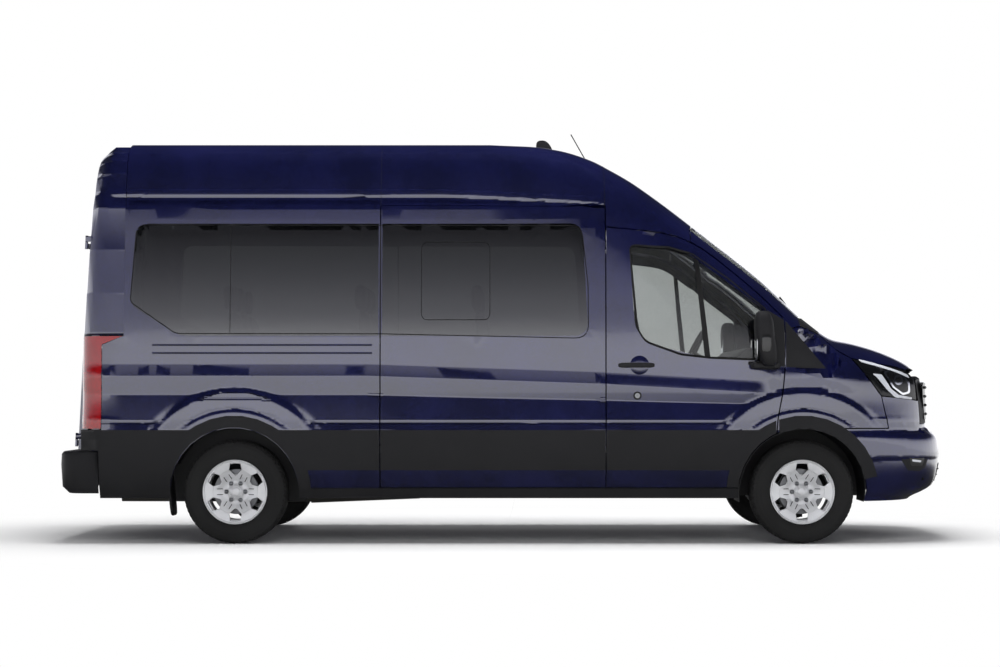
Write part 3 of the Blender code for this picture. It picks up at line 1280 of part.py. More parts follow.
def rear_doors():
    """Two doors that swing out and right round to the sides on hinges at the rear corners."""
    places, _, _ = rear_section(FRAME_WIDTH + SHUT_GAP / 2, 7)
    top = places[(places[:, 1] > LEDGE_BOTTOM_Z) & (places[:, 0] <= 0)]
    for hand, side in SIDES:
        name = "rear_door_" + hand
        body(name, hinge_place(side, LAMP_TOP_Z))
        edge = REAR_DOOR_EDGE
        low = [(-edge, REAR_DOOR_BOTTOM_Z), (-SHUT_GAP / 2, REAR_DOOR_BOTTOM_Z)]
        high = [(min(y, -SHUT_GAP / 2), z) for y, z in top[::-1]] + [(max(y, -edge), z) for y, z in places[3::-1]]
        loop = np.array(low + high)
        glass = rounded([
            (-edge + REAR_GLASS_EDGE, REAR_GLASS_BOTTOM_Z, BAND_CORNER), (-REAR_GLASS_EDGE, REAR_GLASS_BOTTOM_Z, BAND_CORNER),
            (-REAR_GLASS_EDGE, REAR_GLASS_TOP_Z, BAND_CORNER), (-edge + REAR_GLASS_EDGE, REAR_GLASS_TOP_Z, BAND_CORNER),
        ])
        if side > 0:
            loop, glass = loop * [-1, 1], glass * [-1, 1]
        mesh = panel_mesh(loop, [glass], rear_point, DOOR_WALL, REAR_WALL_SPACING, DOOR_LIP)
        joined = [piece for z in HINGE_HEIGHTS for piece in rear_hinge(side, z, False)]
        part(name, mesh, "paint", name, joined=joined)
        pane = panel_mesh(shrunk(glass, REST), [], rear_point, GLASS, 1)
        part("rear_door_glass_" + hand, pane, "dark_glass", name)


def tail_lamps():
    """The tall lamps on the rear corners, below the end cap."""
    start = REAR_FACE_X + CORNER_RADIUS
    wrap = start - CORNER_RADIUS * math.pi / 2
    loop = np.array([
        (LAMP_FRONT_X, LAMP_BOTTOM_Z), (LAMP_FRONT_X, LAMP_TOP_Z - LAMP_DROP), (D_LINE_X, LAMP_TOP_Z),
        (wrap, LAMP_TOP_Z), (wrap, LAMP_BOTTOM_Z),
    ])
    for hand, side in SIDES:
        mesh = panel_mesh(shrunk(loop, SEAM_GAP), [], side_point(side), WALL, LAMP_SPACING, DOOR_LIP)
        fixing = tab(side_point(side), (LAMP_FRONT_X, (LAMP_TOP_Z + LAMP_BOTTOM_Z) / 2), WALL, 1)
        part("tail_lamp_" + hand, mesh, "red_lens", joined=[fixing], cut=seat_for(["side_wall_" + hand], (-1, -side, 0)))


REAR_BUMPER_LEVELS = (
    # height, and how far the face stands in from the bumper's furthest place
    (0.335, 0.055), (0.375, 0.010), (0.520, 0.000), (0.592, 0.004), (0.608, 0.018), (REAR_BUMPER_TOP_Z, 0.125),
)
REAR_BUMPER_ROUNDNESS = 5.0
REAR_BUMPER_START_X = REAR_FACE_X + CORNER_RADIUS - SEAM_GAP
REAR_BUMPER_TURNS = (0, 25, 40, 50, 58, 66, 76, 84, 90)


def rear_bumper():
    """The black rear bumper with its step, wrapped round both corners."""
    turns = [-turn for turn in REAR_BUMPER_TURNS[:0:-1]] + list(REAR_BUMPER_TURNS)
    rings = []
    low_z = REAR_BUMPER_LEVELS[0][0]
    for inward in (0, BUMPER_WALL):
        levels = REAR_BUMPER_LEVELS if not inward else REAR_BUMPER_LEVELS[::-1]
        for z, step in levels:
            ring = []
            drop = inward * (z - low_z) / (REAR_BUMPER_TOP_Z - low_z)
            for turn in np.radians(turns):
                power = 2 / REAR_BUMPER_ROUNDNESS
                deep = REAR_BUMPER_START_X - REAR_X - step - inward
                wide = HALF_WIDTH - TRIM - step / 4 - inward
                x = REAR_BUMPER_START_X - deep * abs(math.cos(turn)) ** power
                y = math.copysign(wide * abs(math.sin(turn)) ** power, turn) if turn else 0
                ring.append((x, y, z - drop))
            rings.append(ring)
    part("rear_bumper", loft(rings), "black_plastic")


# Structure: floor, posts, subframe
FLOOR_REAR_X = REAR_FACE_X + 0.07
FLOOR_FRONT_X = DOOR_FRONT_X - 0.26
DASH_BASE_Z = 1.000
ROCKER_OUT = 0.905
ROCKER_DEPTH = 0.17
ROCKER_FRONT_X = FRONT_AXLE_X - FLARE_RADIUS
ROCKER_BOTTOM_Z = 0.335
WELL_RADIUS = ARCH_RADIUS + 0.012
WELL_IN = 0.62
WELL_OUT = 0.935
WELL_WALL = 0.006
RAIL_IN = 0.36
RAIL_OUT = 0.46
RAIL_BOTTOM_Z = 0.440
RAIL_TOP_Z = 0.580
RAIL_FRONT_X = FRONT_X - 0.075
IRON_HALF = 0.020
IRON_Z = 0.510
OUTRIGGER_STEP = 0.005


def wheel_disc(centre, radius, low, high):
    return extruded(arc(centre, radius, 0, 360 - ARC_STEP), low, high)


def underbody():
    """Floor, sills and the housings over the rear wheels, as one welded shell."""
    centre = ARCH_CENTRES["rear"]
    floor = block((FLOOR_REAR_X, -FLOOR_HALF, FLOOR_Z - FLOOR_THICK), (FLOOR_FRONT_X, FLOOR_HALF, FLOOR_Z))
    joined = [block((FLOOR_FRONT_X - FLOOR_THICK, -FLOOR_HALF, FLOOR_Z - FLOOR_THICK),
                    (FLOOR_FRONT_X, FLOOR_HALF, DASH_BASE_Z))]
    rear_arch, front_arch = centre[0] - FLARE_RADIUS, centre[0] + FLARE_RADIUS
    cut = []
    for _, side in SIDES:
        near, far = sorted((side * RAIL_IN, side * RAIL_OUT))
        joined.append(block((FLOOR_FRONT_X - FLOOR_THICK, near, RAIL_BOTTOM_Z), (RAIL_FRONT_X, far, RAIL_TOP_Z)))
        near, far = sorted((side * (ROCKER_OUT - ROCKER_DEPTH), side * ROCKER_OUT))
        rear = REAR_AXLE_X + FLARE_RADIUS
        joined.append(block((rear, near, ROCKER_BOTTOM_Z), (ROCKER_FRONT_X, far, FLOOR_Z - OVERRUN)))
        near, far = sorted((side * (WELL_IN - WELL_WALL), side * WELL_OUT))
        joined.append(wheel_disc(centre, WELL_RADIUS + WELL_WALL, near, far))
        near, far = sorted((side * WELL_IN, side * HALF_WIDTH))
        cut.append(wheel_disc(centre, WELL_RADIUS, near, far))
        low_x, high_x = centre[0] - FLARE_RADIUS, centre[0] + FLARE_RADIUS - OVERRUN
        cut.append(block((low_x, near, -WELL_RADIUS), (high_x, far, FLOOR_Z - FLOOR_THICK - OVERRUN)))
        middle_y = side * (RAIL_IN + RAIL_OUT) / 2
        near, far = middle_y - IRON_HALF, middle_y + IRON_HALF
        front = reach("front_bumper", (RAIL_FRONT_X, middle_y, IRON_Z), (1, 0, 0))[0] + BUMPER_WALL / 2
        joined.append(block((RAIL_FRONT_X - OVERRUN, near, IRON_Z - IRON_HALF), (front, far, IRON_Z + IRON_HALF)))
        rear = reach("rear_bumper", (FLOOR_REAR_X, middle_y, IRON_Z), (-1, 0, 0))[0] - BUMPER_WALL / 2
        joined.append(block((rear, near, IRON_Z), (FLOOR_REAR_X + OVERRUN, far, FLOOR_Z - FLOOR_THICK + OVERRUN)))
    low_x, high_x = centre[0] - FLARE_RADIUS, centre[0] + FLARE_RADIUS - OVERRUN
    cut.append(block((low_x, -WELL_IN, -WELL_RADIUS), (high_x, WELL_IN, FLOOR_Z - FLOOR_THICK - OVERRUN)))
    carried = (
        # hand, side, rear end, front end, what the outrigger reaches
        ("right", -1, LAMP_FRONT_X, rear_arch, "side_wall_right"),
        ("right", -1, front_arch, C_LINE_X - OVERRUN, "side_wall_right"),
        ("right", -1, C_LINE_X + OVERRUN, B_LINE_X - OVERRUN, "sliding_door"),
        ("left", 1, LAMP_FRONT_X, rear_arch, "side_wall_left"),
        ("left", 1, front_arch, B_LINE_X - OVERRUN, "side_wall_left"),
    )
    for _, side, start, end, name in carried:
        out = float(skin_y(0, FLOOR_Z - FLOOR_THICK / 2)) - WALL / 2
        near, far = spread(side, FLOOR_HALF - OVERRUN, out)
        joined.append(block((start, near, FLOOR_Z - FLOOR_THICK + OUTRIGGER_STEP), (end, far, FLOOR_Z - OUTRIGGER_STEP)))
    for name, toward in (("side_wall_right", 1), ("sliding_door", 1), ("side_wall_left", -1)):
        cut += seat_for([name], (0, toward, 0))
    cut += seat_for(["front_bumper"], (-1, 0, 0)) + seat_for(["rear_bumper"], (1, 0, 0))
    part("underbody", floor, "iron", joined=joined, cut=cut)


LINER_WALL = 0.004
LINER_RADIUS = ARCH_RADIUS - 0.003
LINER_IN = 0.62
FRONT_FLARE_LOW = 12


def liner(side):
    """The shell over a front wheel, whose outer edge keeps inside the skin."""
    centre = ARCH_CENTRES["front"]
    low = -arch_cut("front", ARCH_RADIUS, BUMPER_BOTTOM_Z)
    rings = []
    for radius, edge in ((LINER_RADIUS, 0), (LINER_RADIUS, 1), (LINER_RADIUS - LINER_WALL, 1), (LINER_RADIUS - LINER_WALL, 0)):
        x, z = arc(centre, radius, -low, 180 + low).T
        out = skin_y(x, z) - SHEET / 2
        rings.append(np.stack([x, side * (out if edge else LINER_IN + 0 * out), z], -1))
    return loft(rings)


def front_arches():
    """Each front wheel arch's liner with the black flare that edges it."""
    centre = ARCH_CENTRES["front"]
    start, end = FRONT_FLARE_LOW, door_foot_angle(FLARE_RADIUS, -2 * SHUT_GAP)
    inner = LINER_RADIUS - LINER_WALL / 2
    for hand, side in SIDES:
        inner_end = door_foot_angle(inner, -2 * SHUT_GAP)
        outline = np.concatenate([arc(centre, FLARE_RADIUS, start, end), arc(centre, inner, inner_end, start)])
        plate = panel_mesh(outline, [], side_point(side), TRIM + SHEET, SKIN_SPACING, depth=-TRIM)
        on = seat_for(["wing_" + hand, "front_bumper"], *cladding_ways(side))
        part("front_arch_" + hand, plate, "black_plastic", joined=[liner(side)], cut=on)


# Running gear
HUB_RADIUS = 0.205
RIM_SHARES = (
    # of the rim's radius, of half the rim's width: back of the hub, barrel, seat, dished face, hub cap
    (0.00, 0.05), (0.40, 0.05), (0.88, 0.10), (0.93, -1.00), (1.02, -1.00), (1.02, 1.00), (0.96, 0.97),
    (0.86, 0.52), (0.50, 0.64), (0.33, 0.56), (0.29, 0.72), (0.00, 0.76),
)
RIM_SEAT_SHARE = 1.02
RIM_HALF = TYRE_WIDTH * 0.44
BEAD_SHARE = (RIM_SEAT_SHARE * HUB_RADIUS + REST) / WHEEL_RADIUS
TYRE_PROFILE_SHARES = (
    # of the wheel's radius, of half the tyre's width
    (BEAD_SHARE, 0.80), (0.760, 1.00), (0.940, 0.95), (1.000, 0.66), (1.000, -0.66), (0.940, -0.95),
    (0.760, -1.00), (BEAD_SHARE, -0.80),
)
WHEEL_SEGMENTS = 24
RIM_SEGMENTS = WHEEL_SEGMENTS
WINDOW_COUNT = 6
WINDOW_IN = 0.52
WINDOW_OUT = 0.82
WINDOW_HALF = 0.15
KINGPIN_Y = 0.80
STEER_RANGE = 35


def window_cutter(centre, side, k, y_out):
    angle = math.radians(90 + 360 * k / WINDOW_COUNT)
    shape = ((WINDOW_IN, -0.55), (WINDOW_IN, 0.55), (0.70, 1.0), (WINDOW_OUT, 1.0), (WINDOW_OUT, -1.0), (0.70, -1.0))
    loop = []
    for radial, across in shape:
        r, t = radial * HUB_RADIUS, across * WINDOW_HALF * HUB_RADIUS
        loop.append((centre[0] + r * math.cos(angle) - t * math.sin(angle),
                     centre[1] + r * math.sin(angle) + t * math.cos(angle)))
    return extruded(np.array(loop), *sorted((side * (KINGPIN_Y - 0.04), y_out)))


def wheels():
    """Four wheels: a silver rim with its disc face, and the tyre on it."""
    places = (("front", FRONT_AXLE_X), ("rear", REAR_AXLE_X))
    for where, x in places:
        for hand, side in SIDES:
            name = f"wheel_{where}_{hand}"
            parent = f"knuckle_{hand}" if where == "front" else None
            body(name, (x, side * HALF_TRACK, WHEEL_RADIUS), parent)
            centre = (x, side * HALF_TRACK, WHEEL_RADIUS)
            rim = [(r * HUB_RADIUS, side * y * RIM_HALF) for r, y in RIM_SHARES]
            mesh = revolved(rim, RIM_SEGMENTS, centre)
            cuts = [window_cutter((x, WHEEL_RADIUS), side, k, side * HALF_WIDTH) for k in range(WINDOW_COUNT)]
            part(f"rim_{where}_{hand}", mesh, "alloy", name, cut=cuts)
            tyre = [(r * WHEEL_RADIUS, side * y * TYRE_WIDTH / 2) for r, y in TYRE_PROFILE_SHARES]
            part(f"tyre_{where}_{hand}", revolved(tyre, WHEEL_SEGMENTS, centre), "rubber", name)


HUB_OUT = REST
KNUCKLE_IN = 0.735
ARM_RADIUS = 0.022
BALL_Z = 0.205
BALL_PAD_HALF = 0.030
BALL_PAD_IN = 0.025
BALL_PAD_DEEP = 0.040


def knuckles():
    """The front uprights that steer, with brake disc and caliper, on the strut's lower end."""
    for hand, side in SIDES:
        name = "knuckle_" + hand
        body(name, (FRONT_AXLE_X, side * KINGPIN_Y, WHEEL_RADIUS))
        near, far = side * KNUCKLE_IN, side * (HALF_TRACK + RIM_SHARES[0][1] * RIM_HALF - HUB_OUT)
        centre = (FRONT_AXLE_X, 0, WHEEL_RADIUS)
        disc = revolved([(0, near), (HUB_RADIUS * 0.30, near), (HUB_RADIUS * 0.30, side * (KINGPIN_Y - 0.012)),
                         (HUB_RADIUS * 0.74, side * (KINGPIN_Y - 0.012)), (HUB_RADIUS * 0.74, side * (KINGPIN_Y + 0.012)),
                         (HUB_RADIUS * 0.30, side * (KINGPIN_Y + 0.012)), (HUB_RADIUS * 0.28, far), (0, far)], 16, centre)
        arm = rod((FRONT_AXLE_X, side * KNUCKLE_IN, WHEEL_RADIUS), (FRONT_AXLE_X, side * KNUCKLE_IN, BALL_Z), ARM_RADIUS)
        part(name, disc, "iron", name, joined=[arm])


def front_subframe():
    """The front cross member with its lower arms, bolted up to the rails."""
    beam = block((FRONT_AXLE_X - 0.11, -0.46, 0.235), (FRONT_AXLE_X + 0.11, 0.46, 0.315))
    joined = []
    for _, side in SIDES:
        near, far = spread(side, KNUCKLE_IN - ARM_RADIUS - BALL_PAD_IN, KNUCKLE_IN + ARM_RADIUS / 2)
        joined.append(block((FRONT_AXLE_X - BALL_PAD_HALF, near, BALL_Z - BALL_PAD_DEEP),
                            (FRONT_AXLE_X + BALL_PAD_HALF, far, BALL_Z - PIN_PLAY)))
        joined.append(rod((FRONT_AXLE_X - 0.08, side * 0.42, 0.265), (FRONT_AXLE_X, side * 0.70, 0.175), 0.022))
        joined.append(rod((FRONT_AXLE_X + 0.08, side * 0.42, 0.265), (FRONT_AXLE_X + 0.01, side * 0.69, 0.176), 0.021))
        for along in (-0.09, 0.09):
            foot = (FRONT_AXLE_X + along, side * 0.41, 0.28)
            joined.append(rod(foot, (FRONT_AXLE_X + along, side * 0.41, RAIL_BOTTOM_Z - REST), 0.02))
    part("front_subframe", beam, "iron", joined=joined)


AXLE_Z = 0.343
SPRING_Y = 0.54
SPRING_HALF = 0.035
SPRING_RISE = FLOOR_Z - FLOOR_THICK - REST - AXLE_Z + 0.038


def rear_axle():
    """The beam axle on its long leaf springs, with the two dampers."""
    end = HALF_TRACK + RIM_SHARES[0][1] * RIM_HALF - HUB_OUT
    beam = rod((REAR_AXLE_X, -end, AXLE_Z), (REAR_AXLE_X, end, AXLE_Z), 0.045, 14)
    joined = [rod((REAR_AXLE_X, -0.09, AXLE_Z), (REAR_AXLE_X, 0.09, AXLE_Z), 0.13, 14)]
    for _, side in SIDES:
        profile = []
        for t in np.linspace(-1, 1, 9):
            profile.append((REAR_AXLE_X + 0.70 * t, AXLE_Z - 0.038 + SPRING_RISE * t * t))
        profile += [(x, z - 0.022) for x, z in profile[::-1]]
        low, high = sorted((side * (SPRING_Y - SPRING_HALF), side * (SPRING_Y + SPRING_HALF)))
        joined.append(extruded(np.array(profile), low, high))
        joined.append(rod((REAR_AXLE_X - 0.02, side * 0.44, AXLE_Z), (REAR_AXLE_X - 0.16, side * 0.44, FLOOR_Z - FLOOR_THICK - OVERRUN), 0.024))
    part("rear_axle", beam, "iron", joined=joined)


def engine():
    """The engine and gearbox as one plain block at their real place."""
    part("engine", block((FRONT_AXLE_X + 0.14, -RAIL_IN + REST, 0.42), (FRONT_AXLE_X + 0.66, RAIL_IN - REST, 1.02)), "iron")


def exhaust():
    """The tail pipe and silencer under the floor."""
    pipe = rod((-2.66, -0.30, 0.27), (-1.30, -0.30, 0.268), 0.024)
    hangers = [rod((x, -0.30, z), (x, -0.30, FLOOR_Z - FLOOR_THICK - REST), 0.012, 6) for x, z in ((-2.4, 0.27), (-1.0, 0.34))]
    box = rod((-1.35, -0.30, 0.32), (-0.60, -0.30, 0.35), 0.085, 12)
    part("exhaust", pipe, "iron", joined=[box, *hangers])


SEAT_WIDTH = 0.47
SEAT_DEPTH = 0.47
SEAT_Z = 0.98
CAB_SEAT_X = 0.86
BACK_HEIGHT = 0.62


def seat_shape(x, y, width, floor_z, height, heads):
    """Base, cushion, back and head restraints of a seat or bench, as overlapping blocks."""
    half = width / 2
    lean = 0.18
    base = block((x + 0.05, y - half + 0.05, floor_z + REST), (x + SEAT_DEPTH - 0.05, y + half - 0.05, height - 0.10))
    cushion = block((x, y - half, height - 0.13), (x + SEAT_DEPTH, y + half, height))
    side = np.array([
        (x, height - 0.12), (x + 0.12, height - 0.12), (x + 0.10 - lean / 2, height + BACK_HEIGHT), (x - lean / 2, height + BACK_HEIGHT),
    ])
    back = extruded(side, y - half, y + half)
    joined = [cushion, back]
    for place in heads:
        low = height + BACK_HEIGHT - OVERRUN
        joined.append(block((x - 0.09, y + place - 0.12, low), (x + 0.01, y + place + 0.12, low + 0.21)))
    return base, joined


def seats():
    base, joined = seat_shape(CAB_SEAT_X, 0.52, SEAT_WIDTH, FLOOR_Z, SEAT_Z, (0,))
    part("driver_seat", base, "cloth", joined=joined)
    base, joined = seat_shape(CAB_SEAT_X, -0.40, 0.90, FLOOR_Z, SEAT_Z, (-0.22, 0.22))
    part("passenger_bench", base, "cloth", joined=joined)
    tracks = [block((-2.0, y - 0.03, FLOOR_Z + REST), (0.45, y + 0.03, FLOOR_Z + 0.025)) for y in (-0.3, 0.3)]
    joined = tracks[1:]
    for x in (-0.15, -0.95, -1.85):
        base, more = seat_shape(x, 0.0, 1.18, FLOOR_Z, SEAT_Z - 0.02, (-0.40, 0, 0.40))
        joined += [base, *more]
    part("passenger_seats", tracks[0], "cloth", joined=joined)


def dashboard():
    """The dashboard with the steering column and wheel on the left."""
    side = np.array([(1.50, DASH_BASE_Z + REST), (1.86, DASH_BASE_Z + REST), (1.86, 1.28), (1.62, 1.30), (1.50, 1.20)])
    mesh = extruded(side, -0.86, 0.86)
    column = rod((1.60, 0.52, 1.16), (1.36, 0.52, 1.28), 0.03)
    joined = [column]
    turn = Vector((0.24, 0, -0.12)).to_track_quat("Z", "Y")
    ring = []
    for k in range(16):
        angle = 2 * math.pi * k / 16
        ring.append(Vector((1.36, 0.52, 1.28)) + turn @ Vector((0.19 * math.cos(angle), 0.19 * math.sin(angle), 0)))
    rings = []
    for k in range(16):
        centre_dir = (ring[k] - Vector((1.36, 0.52, 1.28))).normalized()
        up = turn @ Vector((0, 0, 1))
        rings.append([ring[k] + (centre_dir * math.cos(a) + up * math.sin(a)) * 0.016 for a in (0, math.pi / 2, math.pi, 1.5 * math.pi)])
    verts = [tuple(v) for r in rings for v in r]
    faces = []
    for k in range(16):
        n = (k + 1) % 16
        for j in range(4):
            m = (j + 1) % 4
            faces.append((4 * k + j, 4 * k + m, 4 * n + m, 4 * n + j))
    joined.append((np.array(verts), faces))
    spoke = rod(ring[0], ring[8], 0.014, 6)
    joined.append(spoke)
    part("dashboard", mesh, "black_plastic", joined=joined)


def antenna():
    foot = float(roof_line(0.62)) - OVERRUN
    on = [moved(SKINS["roof"], (0, 0, REST))]
    part("antenna", rod((0.62, 0, foot), (0.46, 0, 2.83), 0.004, 6), "black_plastic", cut=on)


front_doors()
sliding_door()
side_walls()
lower_trim()
roof()
windscreen()
a_pillars()
bonnet()
cowl()
wings()
headlamps()
grille()
front_bumper()
rear_frame()
rear_doors()
tail_lamps()
rear_bumper()
underbody()
front_arches()
knuckles()
wheels()
front_subframe()
rear_axle()
engine()
exhaust()
seats()
dashboard()
antenna()
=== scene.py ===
"""A high-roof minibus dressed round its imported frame: painted panels, glass, lamps, wheels, trim and cab."""

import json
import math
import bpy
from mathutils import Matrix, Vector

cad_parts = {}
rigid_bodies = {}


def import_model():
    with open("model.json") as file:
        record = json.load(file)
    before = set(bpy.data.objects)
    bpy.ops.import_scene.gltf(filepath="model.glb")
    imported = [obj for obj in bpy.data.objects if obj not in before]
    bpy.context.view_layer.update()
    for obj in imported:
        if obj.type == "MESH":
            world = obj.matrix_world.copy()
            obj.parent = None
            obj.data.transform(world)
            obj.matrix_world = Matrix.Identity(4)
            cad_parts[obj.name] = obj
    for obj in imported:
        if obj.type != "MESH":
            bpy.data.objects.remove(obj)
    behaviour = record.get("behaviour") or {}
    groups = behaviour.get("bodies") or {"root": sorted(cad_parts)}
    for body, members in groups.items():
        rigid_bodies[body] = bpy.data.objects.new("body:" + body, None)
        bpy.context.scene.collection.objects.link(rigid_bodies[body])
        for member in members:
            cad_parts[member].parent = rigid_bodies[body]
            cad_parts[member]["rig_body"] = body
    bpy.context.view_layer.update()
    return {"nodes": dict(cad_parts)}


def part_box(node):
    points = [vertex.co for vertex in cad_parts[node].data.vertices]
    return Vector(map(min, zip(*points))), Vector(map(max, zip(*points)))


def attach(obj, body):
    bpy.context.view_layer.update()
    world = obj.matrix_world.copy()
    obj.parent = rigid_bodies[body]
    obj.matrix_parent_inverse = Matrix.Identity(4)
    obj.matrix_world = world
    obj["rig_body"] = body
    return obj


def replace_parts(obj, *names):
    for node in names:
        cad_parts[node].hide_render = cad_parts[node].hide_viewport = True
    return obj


bl_info = {
    "name": "High-Roof Minibus",
    "version": (1, 0, 0),
    "blender": (4, 5, 0),
    "location": "3D View > Sidebar > Minibus",
    "description": "Dresses a packed minibus frame with paint, glass, lamps, wheels and trim",
    "category": "Object",
}

import bmesh
import bpy
import numpy as np

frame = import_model()
NODES = frame["nodes"]
SIDES = (("right", -1), ("left", 1))

# The same main sizes as the frame's own, in metres
FRONT_X, HALF_WIDTH, ROOF_Z = 2.99, 1.02, 2.70
FRONT_AXLE_X, REAR_AXLE_X, AXLE_Z = 1.967, -1.783, 0.343
HALF_TRACK = 0.87
B_LINE_X, C_LINE_X = 0.668, -0.822
REAR_FACE_X, CORNER_RADIUS, REAR_LEAN, LAMP_TOP_Z = -2.805, 0.13, 0.05, 1.375
CORNER_X = REAR_FACE_X + CORNER_RADIUS
LEDGE_BOTTOM_Z, LEDGE_TOP_Z, LEDGE_INSET = 2.232, 2.335, 0.024
BEND_X, NOSE_X, NOSE_Z = -0.10, 2.90, 0.97
SHOULDER_Z, BONNET_SHOULDER_Z = 1.20, 0.90
NOSE_START_X, NOSE_ROUNDNESS = 1.70, 3.6
CENTRE_LINE_SHARES = (
    (0.000, 1.000), (0.090, 0.993), (0.150, 0.977), (0.227, 0.934), (0.273, 0.893), (0.320, 0.847),
    (0.365, 0.795), (0.412, 0.737), (0.468, 0.664), (0.601, 0.487), (0.737, 0.277), (0.778, 0.235),
    (0.824, 0.217), (0.870, 0.194), (0.916, 0.163), (0.944, 0.139), (0.957, 0.123), (0.971, 0.099),
    (0.985, 0.064), (1.000, 0.000),
)
SIDE_SHARES = (
    (0.000, 0.900), (0.110, 0.935), (0.140, 0.965), (0.180, 0.985), (0.230, 0.996), (0.280, 1.000),
    (0.304, 1.000), (0.312, 0.996), (0.366, 0.983), (0.410, 0.989), (0.440, 0.979), (0.465, 0.977),
    (0.507, 0.972), (0.600, 0.955), (0.740, 0.927), (0.830, 0.912), (0.900, 0.900), (1.000, 0.885),
)
FRAME_ROUNDNESS, CROWN_DROP = 6.0, 0.018
ROUNDNESS_SHARES = (
    (0.0, 10.0), (0.15, 9.0), (0.28, 7.0), (0.468, 4.8), (0.737, 3.4), (0.80, 3.6), (1.0, 4.2),
)
FACE_SHARES = (
    (0.250, 0.080), (0.300, 0.064), (0.340, 0.036), (0.375, 0.018), (0.460, 0.005), (0.550, 0.000),
    (0.620, 0.001), (0.690, 0.004), (0.745, 0.014), (0.766, 0.030), (0.900, 0.030), (1.000, 0.031),
    (2.800, 0.031),
)
# The flanks' crisp pressing: height and half width, between the black moulding and the windows
PRESSING = (
    (0.753, 1.0165), (0.790, 1.0100), (0.797, 1.0180), (0.820, 1.0190), (0.826, 1.0180), (0.985, 0.9960),
    (0.993, 0.9960), (1.106, 1.0075), (1.113, 1.0070), (1.183, 0.9950), (1.191, 0.9948), (1.366, 0.9914),
)
# How far the roof's side is set in at each height, as a share of the ledge: the slope, then the proud rib
LEDGE_STEPS = ((2.228, 0.0), (2.301, 1.0), (2.306, 0.72), (2.345, 0.70), (2.350, 1.0))
ARCH_CREST, ARCH_FOOT, FLARE_RADIUS = 0.648, 0.700, 0.552
# The bow over each arch: its half width and its fall to the foot; then the lip's half width, slope and width
BOW_Y, BOW_FALL, LIP_Y, LIP_SLOPE, LIP_WIDTH = 1.0185, 0.016, 1.0165, 0.27, 0.024
# Where the pressed lines bend towards the nose and how far they have fallen there; the cuts lie just past
BAND_BENDS, BAND_FALLS, BAND_CUTS = (-0.9, 0.63, 1.77), (0, 0.052, 0.115), (-0.9001, 0.6301, 1.7701)
# The rows between these heights are cut fine, where the pressing is sharpest: lowest, highest, step
FINE_ROWS = (0.765, 1.07, 0.008)
# Places along the roof where its ledge starts to rise, and by how much
LEDGE_BENDS, LEDGE_RISES = (-0.4, 0.68, 0.93), (0, 0.050, 0.140)
# Edges sharper than this many degrees stay crisp on the pressed panels
CRISP = 9


# The skin, as the frame's own source gives it
def smooth_table(rows):
    """A monotone cubic through rows of (place, value): Hermite pieces with harmonic-mean slopes."""
    place, value = (np.array(column, float) for column in zip(*rows))
    step = np.diff(place)
    slope = np.diff(value) / step
    inner = np.zeros(len(slope) - 1)
    same = slope[:-1] * slope[1:] > 0
    weight_a, weight_b = 2 * step[1:] + step[:-1], step[1:] + 2 * step[:-1]
    mean = weight_a[same] / slope[:-1][same] + weight_b[same] / slope[1:][same]
    inner[same] = (weight_a + weight_b)[same] / mean
    tangent = np.concatenate([[slope[0]], inner, [slope[-1]]])

    def curve(at):
        at = np.clip(np.asarray(at, float), place[0], place[-1])
        i = np.clip(np.searchsorted(place, at, side="right") - 1, 0, len(step) - 1)
        t = (at - place[i]) / step[i]
        near = value[i] * (1 + 2 * t) * (1 - t) ** 2 + tangent[i] * step[i] * t * (1 - t) ** 2
        return near + value[i + 1] * t * t * (3 - 2 * t) + tangent[i + 1] * step[i] * t * t * (t - 1)

    return curve


centre_curve, side_curve = smooth_table(CENTRE_LINE_SHARES), smooth_table(SIDE_SHARES)
round_curve, face_curve = smooth_table(ROUNDNESS_SHARES), smooth_table(FACE_SHARES)


def ease(t):
    """The smooth step 3t^2 - 2t^3."""
    t = np.clip(t, 0, 1)
    return t * t * (3 - 2 * t)


def fall_share(x):
    return np.clip((np.asarray(x, float) - BEND_X) / (NOSE_X - BEND_X), 0, 1)


def roof_line(x):
    """Height of the centre line: the fall from roof to nose as a share of its drop."""
    crown = CROWN_DROP * (1 - ease(np.asarray(x, float) / 0.8))
    return NOSE_Z + centre_curve(fall_share(x)) * (ROOF_Z - NOSE_Z) - crown


def shoulder_z(x):
    return SHOULDER_Z + (BONNET_SHOULDER_Z - SHOULDER_Z) * ease((fall_share(x) - 0.60) / 0.25)


def side_profile(x, z):
    """Half width by height, set in above the ledge; the ledge runs out ahead of the doors."""
    length = B_LINE_X - C_LINE_X
    fade = 1 - ease((np.asarray(x, float) - B_LINE_X + 0.25 * length) / (0.42 * length))
    above = np.interp(z + np.interp(x, LEDGE_BENDS, LEDGE_RISES), *zip(*LEDGE_STEPS))
    return side_curve(np.asarray(z, float) / ROOF_Z) * HALF_WIDTH - LEDGE_INSET * above * fade


def face_x(z):
    return FRONT_X - face_curve(np.asarray(z, float) / NOSE_Z) * (NOSE_X - BEND_X)


def nose_taper(x, z):
    """Superellipse in plan: the share of the half width left at x."""
    along = np.clip((np.asarray(x, float) - NOSE_START_X) / (face_x(z) - NOSE_START_X), 0, 1)
    return (1 - along**NOSE_ROUNDNESS) ** (1 / NOSE_ROUNDNESS)


def skin_y(x, z):
    """Superellipse in section: half width of the skin at x and z."""
    x, z = np.broadcast_arrays(np.asarray(x, float), np.asarray(z, float))
    power, low = round_curve(fall_share(x)), shoulder_z(x)
    rise = np.clip((z - low) / (roof_line(x) - low), 0, 1)
    return side_profile(x, z) * nose_taper(x, z) * (1 - rise**power) ** (1 / power)


